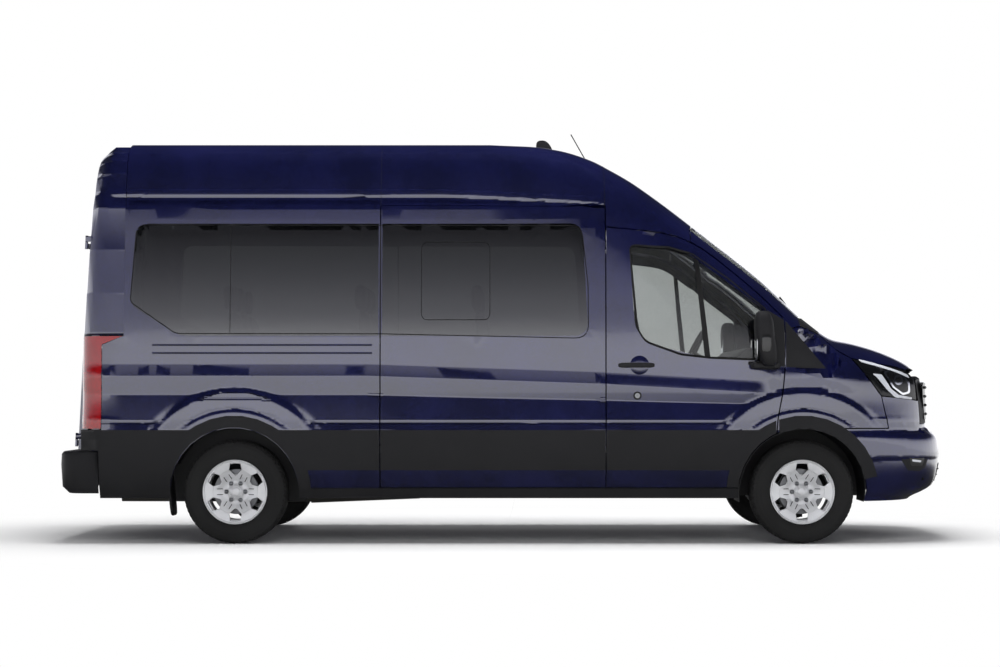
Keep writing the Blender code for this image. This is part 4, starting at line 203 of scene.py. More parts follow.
def skin_z(x, y):
    """Height of the skin over (x, y), by three steps of the section's superellipse."""
    x, y = np.broadcast_arrays(np.asarray(x, float), np.asarray(y, float))
    power, low, top = round_curve(fall_share(x)), shoulder_z(x), roof_line(x)
    height = top.copy()
    for _ in range(3):
        wide = side_profile(x, height) * nose_taper(x, np.minimum(height, NOSE_Z))
        height = low + (top - low) * (1 - np.clip(np.abs(y) / wide, 0, 1) ** power) ** (1 / power)
    return height


def band_height(x, z):
    """The height at which the pressing is read: its lines fall towards the nose, lip to glass."""
    fall = np.interp(x, BAND_BENDS, BAND_FALLS)
    return z + fall * np.interp(z, (0.82, 1.0, 1.19, 1.37), (0, 1, 1, 0))


def pressed(x, z):
    """What the flank's pressing adds to the smooth half width: crisp bands, and raised bows over the arches
    in place of them within the crest's radius."""
    heights, widths = zip(*PRESSING)
    base = side_curve(z / ROOF_Z) * HALF_WIDTH
    band = np.interp(band_height(x, z), heights, widths)
    nose = ease((x - 1.66) / 0.12)
    band = band * (1 - nose) + base * nose
    away = np.minimum(np.hypot(x - FRONT_AXLE_X, z - AXLE_Z), np.hypot(x - REAR_AXLE_X, z - AXLE_Z))
    bow = BOW_Y - BOW_FALL * ease((away - ARCH_CREST) / (ARCH_FOOT - ARCH_CREST))
    lip = LIP_Y + LIP_SLOPE * np.clip(FLARE_RADIUS - away, 0, LIP_WIDTH)
    bow = np.where(away < FLARE_RADIUS, lip, bow)
    outside = ease((away - ARCH_CREST - 0.01) / 0.05)
    ends = (1 - ease((-x - 2.53) / 0.15)) * (1 - ease((x - 2.42) / 0.08))
    added = (band * outside + bow * (1 - outside) - base) * ends
    shape = np.where((z > heights[0]) & (z < heights[-1]), added, 0)
    return shape * (x < 2.52)


def on_skin(points, proud=0.0, detail=True):
    """The nearest places on the skin: across at the flanks, round the rear corner in plan, and radially
    in the section's superellipse above the shoulder. The second result is the outward direction there."""
    x, y, z = np.array(points, float).T
    side = np.where(y < 0, -1.0, 1.0)
    low = shoulder_z(x)
    add = proud + (pressed(x, z) if detail else 0)
    wide = side_profile(x, z) * nose_taper(x, z)
    flank = np.stack([x, side * (wide + add), z], -1)
    out = np.stack([0 * x, side, 0 * z], -1)
    # over the shoulder
    power, top = round_curve(fall_share(x)), roof_line(x)
    for _ in range(3):
        u = np.abs(y) / wide
        v = np.clip((z - low) / (top - low), 0, None)
        r = np.maximum((u**power + v**power) ** (1 / power), 1e-6)
        height = np.where(v > 0, low + (top - low) * v / r, z)
        wide = side_profile(x, height) * nose_taper(x, np.minimum(height, NOSE_Z))
    above = z > low
    over = np.stack([x, side * wide * u / r, height], -1)
    slope = np.stack([0 * x, side * u ** (power - 1) / wide, v ** (power - 1) / (top - low)], -1)
    slope /= np.maximum(np.linalg.norm(slope, axis=1), 1e-9)[:, None]
    over += slope * add[:, None] if np.ndim(add) else slope * add
    place = np.where(above[:, None], over, flank)
    out = np.where(above[:, None], slope, out)
    # round the rear corner
    corner = (x < CORNER_X) & (z < LAMP_TOP_Z + 0.02)
    middle = skin_y(x, z) - CORNER_RADIUS
    away = np.stack([x - CORNER_X, side * y - middle], -1)
    reach = np.maximum(np.linalg.norm(away, axis=1), 1e-6)
    away /= reach[:, None]
    full = CORNER_RADIUS + add
    bend = np.stack([CORNER_X + away[:, 0] * full, side * (middle + away[:, 1] * full), z], -1)
    round_out = np.stack([away[:, 0], side * away[:, 1], 0 * x], -1)
    place = np.where(corner[:, None], bend, place)
    return place, np.where(corner[:, None], round_out, out)


def on_nose(points, proud=0.0, detail=True):
    """The nearest places on the front face: radially in plan in its superellipse, from the arches forward."""
    x, y, z = np.array(points, float).T
    reach, wide = face_x(z) - NOSE_START_X, side_profile(NOSE_START_X, z)
    u, v = np.clip((x - NOSE_START_X) / reach, 0, None), np.abs(y) / wide
    r = np.maximum((u**NOSE_ROUNDNESS + v**NOSE_ROUNDNESS) ** (1 / NOSE_ROUNDNESS), 1e-6)
    lean_x, lean_y = u ** (NOSE_ROUNDNESS - 1) / reach, v ** (NOSE_ROUNDNESS - 1) / wide
    out = np.stack([lean_x, np.sign(y) * lean_y, 0 * z], -1)
    out /= np.maximum(np.linalg.norm(out, axis=1), 1e-9)[:, None]
    add = proud + (nose_detail(y, z) if detail else 0)
    place = np.stack([NOSE_START_X + reach * u / r, np.sign(y) * wide * v / r, z], -1)
    return place + out * np.reshape(add, (-1, 1)), out


def nose_detail(y, z):
    """The bumper's pressing: a lip over the intake and a step under the lamps."""
    return 0.008 * ease((z - 0.55) / 0.02) * (1 - ease((z - 0.70) / 0.05))


# Colours, nodes and finishes
def linear(code):
    """A colour written as sRGB hex, turned to the linear values that Blender takes."""
    parts = np.array([int(code[i:i + 2], 16) for i in (1, 3, 5)]) / 255
    parts = np.where(parts <= 0.04045, parts / 12.92, ((parts + 0.055) / 1.055) ** 2.4)
    return (*[float(p) for p in parts], 1.0)


def node(tree, kind, inputs=None, **settings):
    """Adds a node: settings go to its properties, inputs to its sockets as a value or as a socket to link."""
    made = tree.nodes.new(kind)
    for name, value in settings.items():
        setattr(made, name, value)
    for name, value in (inputs or {}).items():
        if isinstance(value, bpy.types.NodeSocket):
            tree.links.new(value, made.inputs[name])
        else:
            made.inputs[name].default_value = value
    return made


FINISHES = {}
# The slow change of tone over every surface: about one patch in 0.4 m
WIDE_NOISE_SCALE = 2.5


def finish(name, colour, grain=0.002, bump=0.0, vary=0.0, rough=0.5, rough_vary=0.0, second=None, **sockets):
    """One material: its colour and roughness vary with a noise of the given grain, which also lifts it."""
    made = bpy.data.materials.new(name)
    made.use_nodes = True
    tree = made.node_tree
    shader = tree.nodes["Principled BSDF"]
    for socket, value in sockets.items():
        shader.inputs[socket.replace("_", " ")].default_value = value
    where = node(tree, "ShaderNodeTexCoord").outputs["Object"]
    noise, wide = (
        node(tree, "ShaderNodeTexNoise", {"Vector": where, "Scale": scale, "Detail": detail}).outputs["Fac"]
        for scale, detail in ((1 / grain, 3.0), (WIDE_NOISE_SCALE, 4.0)))
    both = node(tree, "ShaderNodeMath", {0: noise, 1: wide}, operation="MULTIPLY").outputs[0]
    ramp = node(tree, "ShaderNodeMapRange", {"Value": both, "From Min": 0.1, "From Max": 0.45}).outputs[0]
    base, second = (linear(c) if isinstance(c, str) else c and (*c, 1.0) for c in (colour, second))
    other = second if second else tuple(min(1, c * (1 + vary) + 0.01 * vary) for c in base[:3]) + (1,)
    mix = node(tree, "ShaderNodeMix", {"Factor": ramp}, data_type="RGBA")
    mix.inputs["A"].default_value, mix.inputs["B"].default_value = base, other
    tree.links.new(mix.outputs["Result"], shader.inputs["Base Color"])
    span = {"Value": wide, "To Min": max(0.0, rough - rough_vary), "To Max": min(1.0, rough + rough_vary)}
    tree.links.new(node(tree, "ShaderNodeMapRange", span).outputs[0], shader.inputs["Roughness"])
    if bump:
        lift = node(tree, "ShaderNodeBump", {"Height": noise, "Strength": 0.6, "Distance": bump})
        tree.links.new(lift.outputs["Normal"], shader.inputs["Normal"])
    FINISHES[name] = made
    return made


def painted_glass_shade(made, low, high, shine_low, shine_high):
    """The pane's coat weakens with height in a straight line: painted shade in its reflection, darker to the
    top.
    """
    tree = made.node_tree
    where = node(tree, "ShaderNodeTexCoord").outputs["Object"]
    height = node(tree, "ShaderNodeSeparateXYZ", {0: where}).outputs["Z"]
    shine = node(tree, "ShaderNodeMapRange", {"Value": height, "From Min": low, "From Max": high,
                                              "To Min": shine_low, "To Max": shine_high}).outputs[0]
    tree.links.new(shine, tree.nodes["Principled BSDF"].inputs["Coat Weight"])


def make_finishes(look):
    # Two-coat metallic enamel, sprayed and baked: deep navy under a hard clear coat. The flakes, far finer
    # than a pixel, are drawn 1.5 mm wide
    finish("metallic_enamel", look.paint, 0.0015, 0.0, rough=0.3, rough_vary=0.03, second=look.flake,
           Metallic=0.5, Coat_Weight=1.0, Coat_Roughness=0.03, Coat_IOR=2.05)
    # Moulded polypropylene with a 2 mm leather grain: dull, dark grey
    finish("moulded_polypropylene", "#1c1c1e", 0.002, 0.0003, 0.25, 0.58, 0.05, Specular_IOR_Level=0.3)
    # Gloss ABS, moulded: headlamp housings, grille backing, sensors
    finish("gloss_abs", "#0c0d0f", 0.004, 0.00002, 0.3, 0.25, 0.04)
    # Privacy glass, tempered and dark grey: an index near 1 keeps the thin pane from bending what lies behind
    # it, and the coat gives its shine; the coat is weakened towards the top as painted shade in the reflection
    dark = finish("privacy_glass", "#565858", 0.02, 0.0, 0.0, 0.01, 0.0, Transmission_Weight=1.0, IOR=1.04,
                  Coat_Weight=1.0, Coat_Roughness=0.01, Coat_IOR=2.2)
    painted_glass_shade(dark, 1.40, 2.05, 1.0, 0.2)
    # Tempered clear glass with a slight green cast, its index near 1 for the same reason
    finish("clear_glass_pane", "#c2c5c4", 0.02, 0.0, 0.02, 0.01, 0.01, Transmission_Weight=1.0, IOR=1.04,
           Coat_Weight=1.0, Coat_Roughness=0.01)
    # Polycarbonate lens, moulded clear
    finish("clear_polycarbonate", "#eef2f4", 0.02, 0.0, 0.02, 0.02, 0.01, Transmission_Weight=1.0, IOR=1.58)
    # Acrylic lens dyed red
    finish("red_acrylic", "#8d0a10", 0.004, 0.0001, 0.4, 0.12, 0.03, Coat_Weight=0.8)
    # Acrylic lens, smoked dark red
    finish("smoked_acrylic", "#2a070a", 0.004, 0.0001, 0.4, 0.12, 0.03, Coat_Weight=0.8)
    # Acrylic lens over a bright reflector: silver white
    finish("frosted_acrylic", "#c9ccd3", 0.003, 0.0002, 0.1, 0.2, 0.05, Coat_Weight=0.8)
    # Vacuum-plated reflector
    finish("plated_reflector", "#d8dadd", 0.01, 0.0, 0.02, 0.08, 0.03, Metallic=1.0)
    # Cast aluminium wheel, silver enamel with fine sparkle
    finish("silver_wheel_enamel", look.wheel, 0.0012, 0.00003, rough=0.33, rough_vary=0.06, second="#e4e5e7",
           Metallic=0.35, Coat_Weight=0.5)
    # Vulcanised rubber with road dust in it
    finish("tyre_rubber", "#1c1c1c", 0.003, 0.0003, 0.4, 0.75, 0.08, Specular_IOR_Level=0.3)
    # Extruded rubber seal
    finish("seal_rubber", "#0b0b0c", 0.003, 0.0001, 0.3, 0.6, 0.05)
    # Turned cast iron, bright where the pads run
    finish("machined_iron", "#77787a", 0.004, 0.00005, 0.25, 0.35, 0.1, Metallic=1.0)
    # Chassis steel under black wax, dusty
    finish("waxed_steel", "#1b1b1c", 0.006, 0.0003, 0.6, 0.6, 0.1)
    # Aluminised exhaust steel, rolled and dulled by heat
    finish("aluminised_steel", "#8a8884", 0.005, 0.0001, 0.3, 0.45, 0.1, Metallic=1.0)
    # Moulded cab plastic, dark grey with a fine grain
    finish("cab_plastic", "#2a2b2e", 0.0018, 0.0002, 0.3, 0.6, 0.05)
    # Grey headlining board with its felt face
    finish("lining_felt", "#7d7f80", 0.002, 0.0003, 0.2, 0.9, 0.04)
    # Zinc-plated steel fittings
    finish("zinc_steel", "#9a9c9e", 0.004, 0.00005, 0.2, 0.35, 0.08, Metallic=1.0)
    seat_cloth()


# The wave texture's scale counts about twenty radians to a unit, so this gives bands some 6 mm apart
THREAD_SPACING = 0.019


def seat_cloth():
    """Woven polyester seat cloth: threads drawn coarse enough to show, with a fleck of a second colour."""
    made = finish("woven_polyester", "#2b2f3a", 0.003, 0.0, 0.4, 0.92, 0.03, second="#3d4250")
    made.node_tree.nodes["Principled BSDF"].inputs["Sheen Weight"].default_value = 0.3
    tree = made.node_tree
    where = node(tree, "ShaderNodeTexCoord").outputs["Object"]
    threads = {"Vector": where, "Scale": 1 / THREAD_SPACING}
    waves = [node(tree, "ShaderNodeTexWave", threads, bands_direction=way) for way in "XZ"]
    warp, weft = (wave.outputs["Fac"] for wave in waves)
    weave = node(tree, "ShaderNodeMath", {0: warp, 1: weft}, operation="ADD")
    lift = node(tree, "ShaderNodeBump", {"Height": weave.outputs[0], "Strength": 0.5, "Distance": 0.0006})
    tree.links.new(lift.outputs["Normal"], tree.nodes["Principled BSDF"].inputs["Normal"])


# Making pieces
def piece(name, points, faces, material, body="vehicle", smooth=30):
    """A finished mesh object in the frame's own coordinates, on its body and with its finish."""
    data = bpy.data.meshes.new(name)
    data.from_pydata([tuple(p) for p in np.asarray(points, float)], [], [tuple(f) for f in faces])
    return settle(name, data, material, body, smooth)


def settle(name, data, material, body, smooth=30):
    """Puts a mesh in the scene, shades it smooth but for its hard edges, and rides it on its body."""
    materials = [material] if isinstance(material, str) else list(material)
    data.validate()
    for one in materials:
        data.materials.append(FINISHES[one])
    made = bpy.data.objects.new(name, data)
    bpy.context.scene.collection.objects.link(made)
    data.shade_smooth()
    data.set_sharp_from_angle(angle=math.radians(smooth))
    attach(made, body)
    return made


def grid_faces(rows, columns, wrap_rows=False, wrap_columns=False, start=0):
    """Quads of a grid of points; each direction may close on itself."""
    i = np.arange(rows if wrap_rows else rows - 1)[:, None]
    j = np.arange(columns if wrap_columns else columns - 1)[None, :]
    i, j = np.broadcast_arrays(i, j)
    k, m = (i + 1) % rows, (j + 1) % columns
    quads = np.stack([i * columns + j, i * columns + m, k * columns + m, k * columns + j], -1)
    return (quads.reshape(-1, 4) + start).tolist()


def prism_faces(count, turned_in=False):
    """Faces of a prism between two outlines of count points: its walls and its two ends."""
    ends = [list(range(count)), list(range(count, 2 * count))]
    ends[1 if turned_in else 0].reverse()
    return grid_faces(2, count, False, True) + ends


def joined(*meshes):
    """Several (points, faces) as one."""
    points, faces, count = [], [], 0
    for some, quads in meshes:
        points.append(np.asarray(some, float))
        faces += [[i + count for i in f] for f in quads]
        count += len(some)
    return np.concatenate(points), faces


def turned(profile, steps, centre, flip=1):
    """A surface of revolution about the Y axis: each (radius, y) of the closed profile swept round."""
    angles = np.linspace(0, 2 * math.pi, steps, endpoint=False)
    radius, across = np.array(profile, float).T
    points = np.stack([
        centre[0] + np.cos(angles)[:, None] * radius, centre[1] + flip * across + 0 * angles[:, None],
        centre[2] + np.sin(angles)[:, None] * radius,
    ], -1)
    faces = grid_faces(steps, len(radius), True, True)
    return points.reshape(-1, 3), faces if flip > 0 else [f[::-1] for f in faces]


def tube(path, radius, steps=8):
    """A circle carried along a path, with its ends closed."""
    path = np.array(path, float)
    along = np.gradient(path, axis=0)
    along /= np.linalg.norm(along, axis=1)[:, None]
    up = np.where(np.abs(along[:, 2:]) > 0.9, [[1.0, 0, 0]], [[0, 0, 1.0]])
    first = np.cross(along, up)
    first /= np.linalg.norm(first, axis=1)[:, None]
    second = np.cross(along, first)
    turn = np.linspace(0, 2 * math.pi, steps, endpoint=False)
    radius = np.broadcast_to(np.asarray(radius, float), len(path))[:, None, None]
    ring = first[:, None] * np.cos(turn)[None, :, None] + second[:, None] * np.sin(turn)[None, :, None]
    points = (path[:, None] + ring * radius).reshape(-1, 3)
    faces = grid_faces(len(path), steps, False, True)
    count = len(points)
    return points, [f[::-1] for f in faces] + [list(range(steps)), list(range(count - steps, count))[::-1]]


def pillow(centre, half, power=4.0, steps=(24, 16)):
    """A superellipsoid: |x|^p + |y|^p + |z|^p = 1, stretched to its half sizes."""
    lat = np.linspace(-math.pi / 2, math.pi / 2, steps[1] + 1)[1:-1, None]
    lon = np.linspace(0, 2 * math.pi, steps[0], endpoint=False)[None, :]
    raw = np.stack(np.broadcast_arrays(np.cos(lat) * np.cos(lon), np.cos(lat) * np.sin(lon), np.sin(lat)), -1)
    raw = raw.reshape(-1, 3)
    raw = np.concatenate([raw, [[0, 0, -1.0], [0, 0, 1.0]]])
    raw /= np.sum(np.abs(raw) ** power, axis=1)[:, None] ** (1 / power)
    rows, columns, count = steps[1] - 1, steps[0], len(raw)
    faces = grid_faces(rows, columns, False, True)
    faces += [[count - 2, (j + 1) % columns, j] for j in range(columns)]
    last = (rows - 1) * columns
    faces += [[count - 1, last + j, last + (j + 1) % columns] for j in range(columns)]
    return np.array(centre) + raw * np.array(half), faces


def corners(places, steps=5):
    """A closed outline from (a, b, radius) corners, each rounded by an arc that touches both its sides."""
    points = []
    for i, (a, b, radius) in enumerate(places):
        here = np.array([a, b], float)
        before, after = (np.array(places[k][:2], float) - here for k in (i - 1, (i + 1) % len(places)))
        to_before, to_after = before / np.linalg.norm(before), after / np.linalg.norm(after)
        half = math.acos(np.clip(to_before @ to_after, -1, 1)) / 2
        if not radius:
            points.append(here)
            continue
        cut = min(radius / math.tan(half), min(np.linalg.norm(before), np.linalg.norm(after)) / 2)
        t = np.linspace(0, 1, steps + 1)[:, None]
        points += list(here + to_before * cut * (1 - t) ** 2 + to_after * cut * t**2)
    return np.array(points)


def grid_cut(bm, levels, axis):
    """Cuts a bmesh by planes square to one axis."""
    normal = [0, 0, 0]
    normal[axis] = 1
    for level in levels:
        place = [0, 0, 0]
        place[axis] = level
        parts = bm.verts[:] + bm.edges[:] + bm.faces[:]
        bmesh.ops.bisect_plane(bm, geom=parts, dist=1e-5, plane_co=place, plane_no=normal)


def lofted(outline, chart, thick, proud, step=0.04):
    """A plate laid on a skin: the outline's triangles are cut to a grid, laid on it and given thickness."""
    bm = bmesh.new()
    ring = [bm.verts.new((p[0], 0, p[1])) for p in outline]
    edges = [bm.edges.new((a, b)) for a, b in zip(ring, ring[1:] + ring[:1])]
    bmesh.ops.triangle_fill(bm, edges=edges, use_beauty=True)
    low, high = np.min(outline, axis=0), np.max(outline, axis=0)
    grid_cut(bm, np.arange(low[0] + step, high[0], step), 0)
    grid_cut(bm, np.arange(low[1] + step, high[1], step), 2)
    bm.verts.index_update()
    flat = np.array([v.co for v in bm.verts])
    faces = [[v.index for v in f.verts] for f in bm.faces]
    rim = [(e.verts[0].index, e.verts[1].index) for e in bm.edges if len(e.link_faces) == 1]
    bm.free()
    top, out = chart(flat[:, 0], flat[:, 2], proud)
    count = len(top)
    faces = faces + [[i + count for i in f[::-1]] for f in faces]
    faces += [[a, b, b + count, a + count] for a, b in rim]
    return np.concatenate([top, top - out * thick]), faces


def flank(side):
    """A chart (x, z, proud) of one flank."""
    def chart(x, z, proud):
        guess = np.stack([x, side * skin_y(x, z), z], -1)
        return on_skin(guess, proud)
    return chart


def plate(name, outline, side, material, thick=0.004, proud=0.002, body="vehicle", step=0.04,
          chart=None):
    """A thin trim piece laid on the flank inside an outline of (x, z)."""
    points, faces = lofted(outline, chart or flank(side), thick, proud, step)
    made = piece(name, points, faces, material, body)
    bm = bmesh.new()
    bm.from_mesh(made.data)
    bmesh.ops.remove_doubles(bm, verts=bm.verts, dist=1e-6)
    bmesh.ops.recalc_face_normals(bm, faces=bm.faces)
    bm.to_mesh(made.data)
    bm.free()
    made.data.shade_smooth()
    made.data.set_sharp_from_angle(angle=math.radians(30))
    return made


def columns(coarse=0.10, fine=0.02):
    """Cutting places along the van: close together over the arches, wide apart elsewhere."""
    places = np.arange(-3.0, 3.0, fine)
    near = np.minimum(np.abs(places - FRONT_AXLE_X), np.abs(places - REAR_AXLE_X)) < 0.74
    places = places[near | (np.arange(len(places)) % round(coarse / fine) == 0)]
    return np.sort(np.concatenate([places, BAND_CUTS]))


def lean(bm, back=False):
    """Moves a mesh's heights so that the pressing's lines lie level, or back again by fixed-point steps."""
    place = np.array([v.co for v in bm.verts])
    x, z = place[:, 0], place[:, 2]
    height = band_height(x, z)
    if back:
        height = z
        for _ in range(14):
            height = z - (band_height(x, height) - height)
    for vert, one in zip(bm.verts, height):
        vert.co.z = one


def skinned(node_name, material, chart=on_skin, x_cuts=None, z_levels=(), y_step=None, proud=0.0, lining=None,
            detail=True, smooth=24, near=0.014, split=None, pane=False):
    """A finer copy of a CAD panel: cut to a fine grid, its outer faces laid on the smooth skin and pressed.
    A pane's inner faces are laid on the same skin, one thickness further in."""
    source = NODES[node_name]
    bm = bmesh.new()
    bm.from_mesh(source.data)
    bmesh.ops.remove_doubles(bm, verts=bm.verts, dist=2e-5)
    low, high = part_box(node_name)
    cuts = columns() if x_cuts is None else x_cuts
    grid_cut(bm, [x for x in cuts if low.x + 0.002 < x < high.x - 0.002], 0)
    pressing = detail and chart is on_skin
    if pressing:
        lean(bm)
    grid_cut(bm, [z for z in z_levels if low.z < z < high.z + 0.12], 2)
    if pressing:
        lean(bm, back=True)
    if y_step:
        grid_cut(bm, np.arange(low.y + y_step / 2, high.y, y_step), 1)
    bm.normal_update()
    bm.verts.index_update()
    points = np.array([v.co for v in bm.verts])
    place, out = chart(points, proud, detail)
    depth = np.einsum("ij,ij->i", place - points, out)
    outer, inner = np.zeros(len(points), bool), np.zeros(len(points), bool)
    for face in bm.faces:
        ids = [v.index for v in face.verts]
        facing = np.array(face.normal) @ out[ids].mean(0)
        skin = facing > 0.35 and abs(depth[ids]).max() < near
        if skin:
            outer[ids] = True
        elif pane and facing < -0.35:
            inner[ids] = True
        elif lining and abs(depth[ids]).max() > near:
            face.material_index = 1
        if split and facing > 0.2:
            face.material_index = split(points[ids].mean(0))
    if pane and inner.any():
        inner &= ~outer
        points[inner] = (place - out * np.median(depth[inner]))[inner]
    points[outer] = place[outer]
    for vert, point in zip(bm.verts, points):
        vert.co = point
    bmesh.ops.triangulate(bm, faces=[f for f in bm.faces if len(f.verts) > 4])
    data = bpy.data.meshes.new(node_name + "_skin")
    bm.to_mesh(data)
    bm.free()
    data.materials.clear()
    materials = list(material) if isinstance(material, (list, tuple)) else [material]
    made = settle(node_name + "_skin", data, materials + ([lining] if lining else []), source["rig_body"],
                  smooth)
    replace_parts(made, node_name)
    return made


def skin_line(name, outline, side, radius, material, proud=0.0, body="vehicle", closed=True, steps=6):
    """A round bead carried along an outline of (x, z) on the flank."""
    outline = np.array(outline, float)
    if closed:
        outline = np.concatenate([outline, outline[:1]])
    length = np.concatenate([[0], np.cumsum(np.linalg.norm(np.diff(outline, axis=0), axis=1))])
    at = np.unique(np.concatenate([length, np.arange(0, length[-1], 0.05)]))
    x, z = np.interp(at, length, outline[:, 0]), np.interp(at, length, outline[:, 1])
    guess = np.stack([x, side * skin_y(x, z), z], -1)
    path, _ = on_skin(guess, proud, False)
    return piece(name, *tube(path, radius, steps), material, body, 60)


def levels(low, high, step, *extra):
    """Cutting heights every step, with the pressing's own heights and a fine row between them."""
    exact = [z for z, _ in PRESSING] + list(extra) + list(np.arange(*FINE_ROWS))
    plain = [z for z in np.arange(low, high, step) if min(abs(z - e) for e in exact) > step / 4]
    return sorted(set(np.round(plain + exact, 5)))


# The settings a user would change
def linear_three(code):
    return linear(code)[:3]


class MinibusLook(bpy.types.PropertyGroup):
    paint: bpy.props.FloatVectorProperty(
        name="Paint", description="Body colour", subtype="COLOR", size=3, min=0, max=1,
        default=linear_three("#0c1036"))
    flake: bpy.props.FloatVectorProperty(
        name="Flake", description="Colour of the paint's flakes", subtype="COLOR", size=3, min=0, max=1,
        default=linear_three("#191d56"))
    wheel: bpy.props.FloatVectorProperty(
        name="Wheel", description="Colour of the wheels' enamel", subtype="COLOR", size=3, min=0, max=1,
        default=linear_three("#d3d4d6"))
    floor: bpy.props.FloatVectorProperty(
        name="Floor", description="Colour of the studio floor", subtype="COLOR", size=3, min=0, max=1,
        default=linear_three("#eeeeee"))


class MinibusSizes(bpy.types.PropertyGroup):
    tread: bpy.props.FloatProperty(
        name="Tread depth", description="Depth of the tyre's grooves", default=0.009, min=0.002, max=0.012,
        unit="LENGTH")


def finish_look():
    return bpy.context.scene.minibus_look


# Operators
class MINIBUS_OT_panels(bpy.types.Operator):
    """Painted panels of the flanks, roof, nose and tail"""
    bl_idname = "minibus.panels"
    bl_label = "Painted panels"

    def execute(self, context):
        enamel = "metallic_enamel"
        for hand, side in SIDES:
            skinned("side_wall_" + hand, enamel, z_levels=levels(0.40, 2.2, 0.06), lining="lining_felt",
                    smooth=CRISP)
            skinned("front_door_" + hand, enamel, z_levels=levels(0.40, 2.1, 0.04), lining="cab_plastic",
                    smooth=CRISP)
            skinned("wing_" + hand, enamel, z_levels=levels(0.7, 1.45, 0.03), lining="waxed_steel", near=0.03,
                    smooth=CRISP)
            skinned("a_pillar_" + hand, enamel, x_cuts=np.arange(1.16, 2.0, 0.03),
                    z_levels=np.arange(1.4, 2.1, 0.04), detail=False)
            skinned("rear_door_" + hand, enamel, chart=on_tail, x_cuts=(), z_levels=tail_levels(),
                    y_step=0.02, lining="lining_felt")
        skinned("sliding_door", enamel, z_levels=levels(0.40, 2.2, 0.06), lining="lining_felt", smooth=CRISP)
        ledge = (*np.arange(2.0, 2.16, 0.05), *np.arange(2.168, 2.36, 0.006), *np.arange(2.36, 2.60, 0.02),
                 *np.arange(2.60, 2.70, 0.006))
        skinned("roof", enamel, x_cuts=np.arange(-2.5, 1.3, 0.06), y_step=0.03, z_levels=ledge, detail=False,
                lining="lining_felt", near=0.09, smooth=CRISP)
        skinned("bonnet", enamel, x_cuts=np.arange(2.0, 2.83, 0.03), y_step=0.05, detail=False,
                lining="waxed_steel", near=0.022)
        skinned("front_bumper", enamel, chart=on_nose, x_cuts=np.arange(2.1, 3.0, 0.04), y_step=0.04,
                z_levels=np.arange(0.29, 0.98, 0.015), lining="moulded_polypropylene", near=0.02,
                split=lower_black)
        rear_cap(enamel)
        for hand, side in SIDES:
            for row, z in (("upper", 1.314), ("lower", 1.261)):
                rail = [(x, z) for x in np.arange(-2.325, -0.84, 0.05)]
                skin_line(f"slide_rail_{row}_{hand}", rail, side, 0.0065, enamel, -0.0035, closed=False,
                          steps=10)
            for name, x, top in (("front", B_LINE_X - 0.006, 2.63), ("rear", C_LINE_X, 2.66)):
                heights = np.arange(2.235, top, 0.02)
                skin_line(f"roof_seam_{name}_{hand}", np.stack([np.full_like(heights, x), heights], -1), side,
                          0.0016, "seal_rubber", 0.0, closed=False)
        return {"FINISHED"}


def rear_cap(material):
    """The end cap's sides are moved out to the roof's squarer section and take its crisp ledge."""
    made = smoothed("rear_frame", material, 24, levels_z=np.arange(1.40, 2.69, 0.012))
    place = np.array([v.co for v in made.data.vertices])
    x, y, z = place.T
    rise = np.clip((z - SHOULDER_Z) / (ROOF_Z - SHOULDER_Z), 0, 0.985)
    power = float(round_curve(0.0))
    old, new = (1 - rise**FRAME_ROUNDNESS) ** (1 / FRAME_ROUNDNESS), (1 - rise**power) ** (1 / power)
    eased = LEDGE_INSET * ease((z - LEDGE_BOTTOM_Z) / (LEDGE_TOP_Z - LEDGE_BOTTOM_Z))
    crisp = LEDGE_INSET * np.interp(z, *zip(*LEDGE_STEPS))
    wide = (side_curve(z / ROOF_Z) * HALF_WIDTH - eased) * old
    share = ease((np.abs(y) / wide - 0.955) / 0.035)
    ends = ease((x + 2.68) / 0.12)
    goal = np.abs(y) * (1 + (new / old - 1) * share) + (eased - crisp * ends - eased * (1 - ends)) * share
    place[:, 1] = np.sign(y) * goal
    place[:, 2] -= CROWN_DROP * ease((z - 2.45) / 0.2)
    made.data.vertices.foreach_set("co", place.ravel())
    made.data.update()
    made.data.set_sharp_from_angle(angle=math.radians(42))


def tail_levels():
    """Cutting heights of the rear doors, close together at the pressed frames' edges."""
    return sorted({*np.round(np.arange(0.66, 2.55, 0.06), 3), 0.80, 0.81, 0.82, 1.26, 1.27, 1.28})


def lower_black(place):
    """The bumper's lowest band is bare black plastic."""
    return 1 if place[2] < 0.34 else 0


def on_tail(points, proud=0.0, detail=True):
    """The tail's leaning flat face, with a shallow pressed frame round each door's lower half."""
    x, y, z = np.array(points, float).T
    face = REAR_FACE_X + REAR_LEAN * (z - LAMP_TOP_Z)
    inset = np.minimum(ease((np.abs(y) - 0.10) / 0.02), ease((0.74 - np.abs(y)) / 0.02))
    inset = inset * ease((z - 0.80) / 0.02) * ease((1.28 - z) / 0.02)
    place = np.stack([face - proud + 0.006 * inset, y, z], -1)
    return place, np.tile([-1.0, 0, 0], (len(x), 1))


def smoothed(node_name, material, angle=34, suffix="_shell", levels_z=()):
    """A CAD node's shape with its doubles merged and its soft edges shaded smooth."""
    source = NODES[node_name]
    bm = bmesh.new()
    bm.from_mesh(source.data)
    bmesh.ops.remove_doubles(bm, verts=bm.verts, dist=2e-5)
    grid_cut(bm, levels_z, 2)
    data = bpy.data.meshes.new(node_name + suffix)
    bm.to_mesh(data)
    bm.free()
    data.materials.clear()
    made = settle(node_name + suffix, data, material, source["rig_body"], angle)
    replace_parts(made, node_name)
    return made


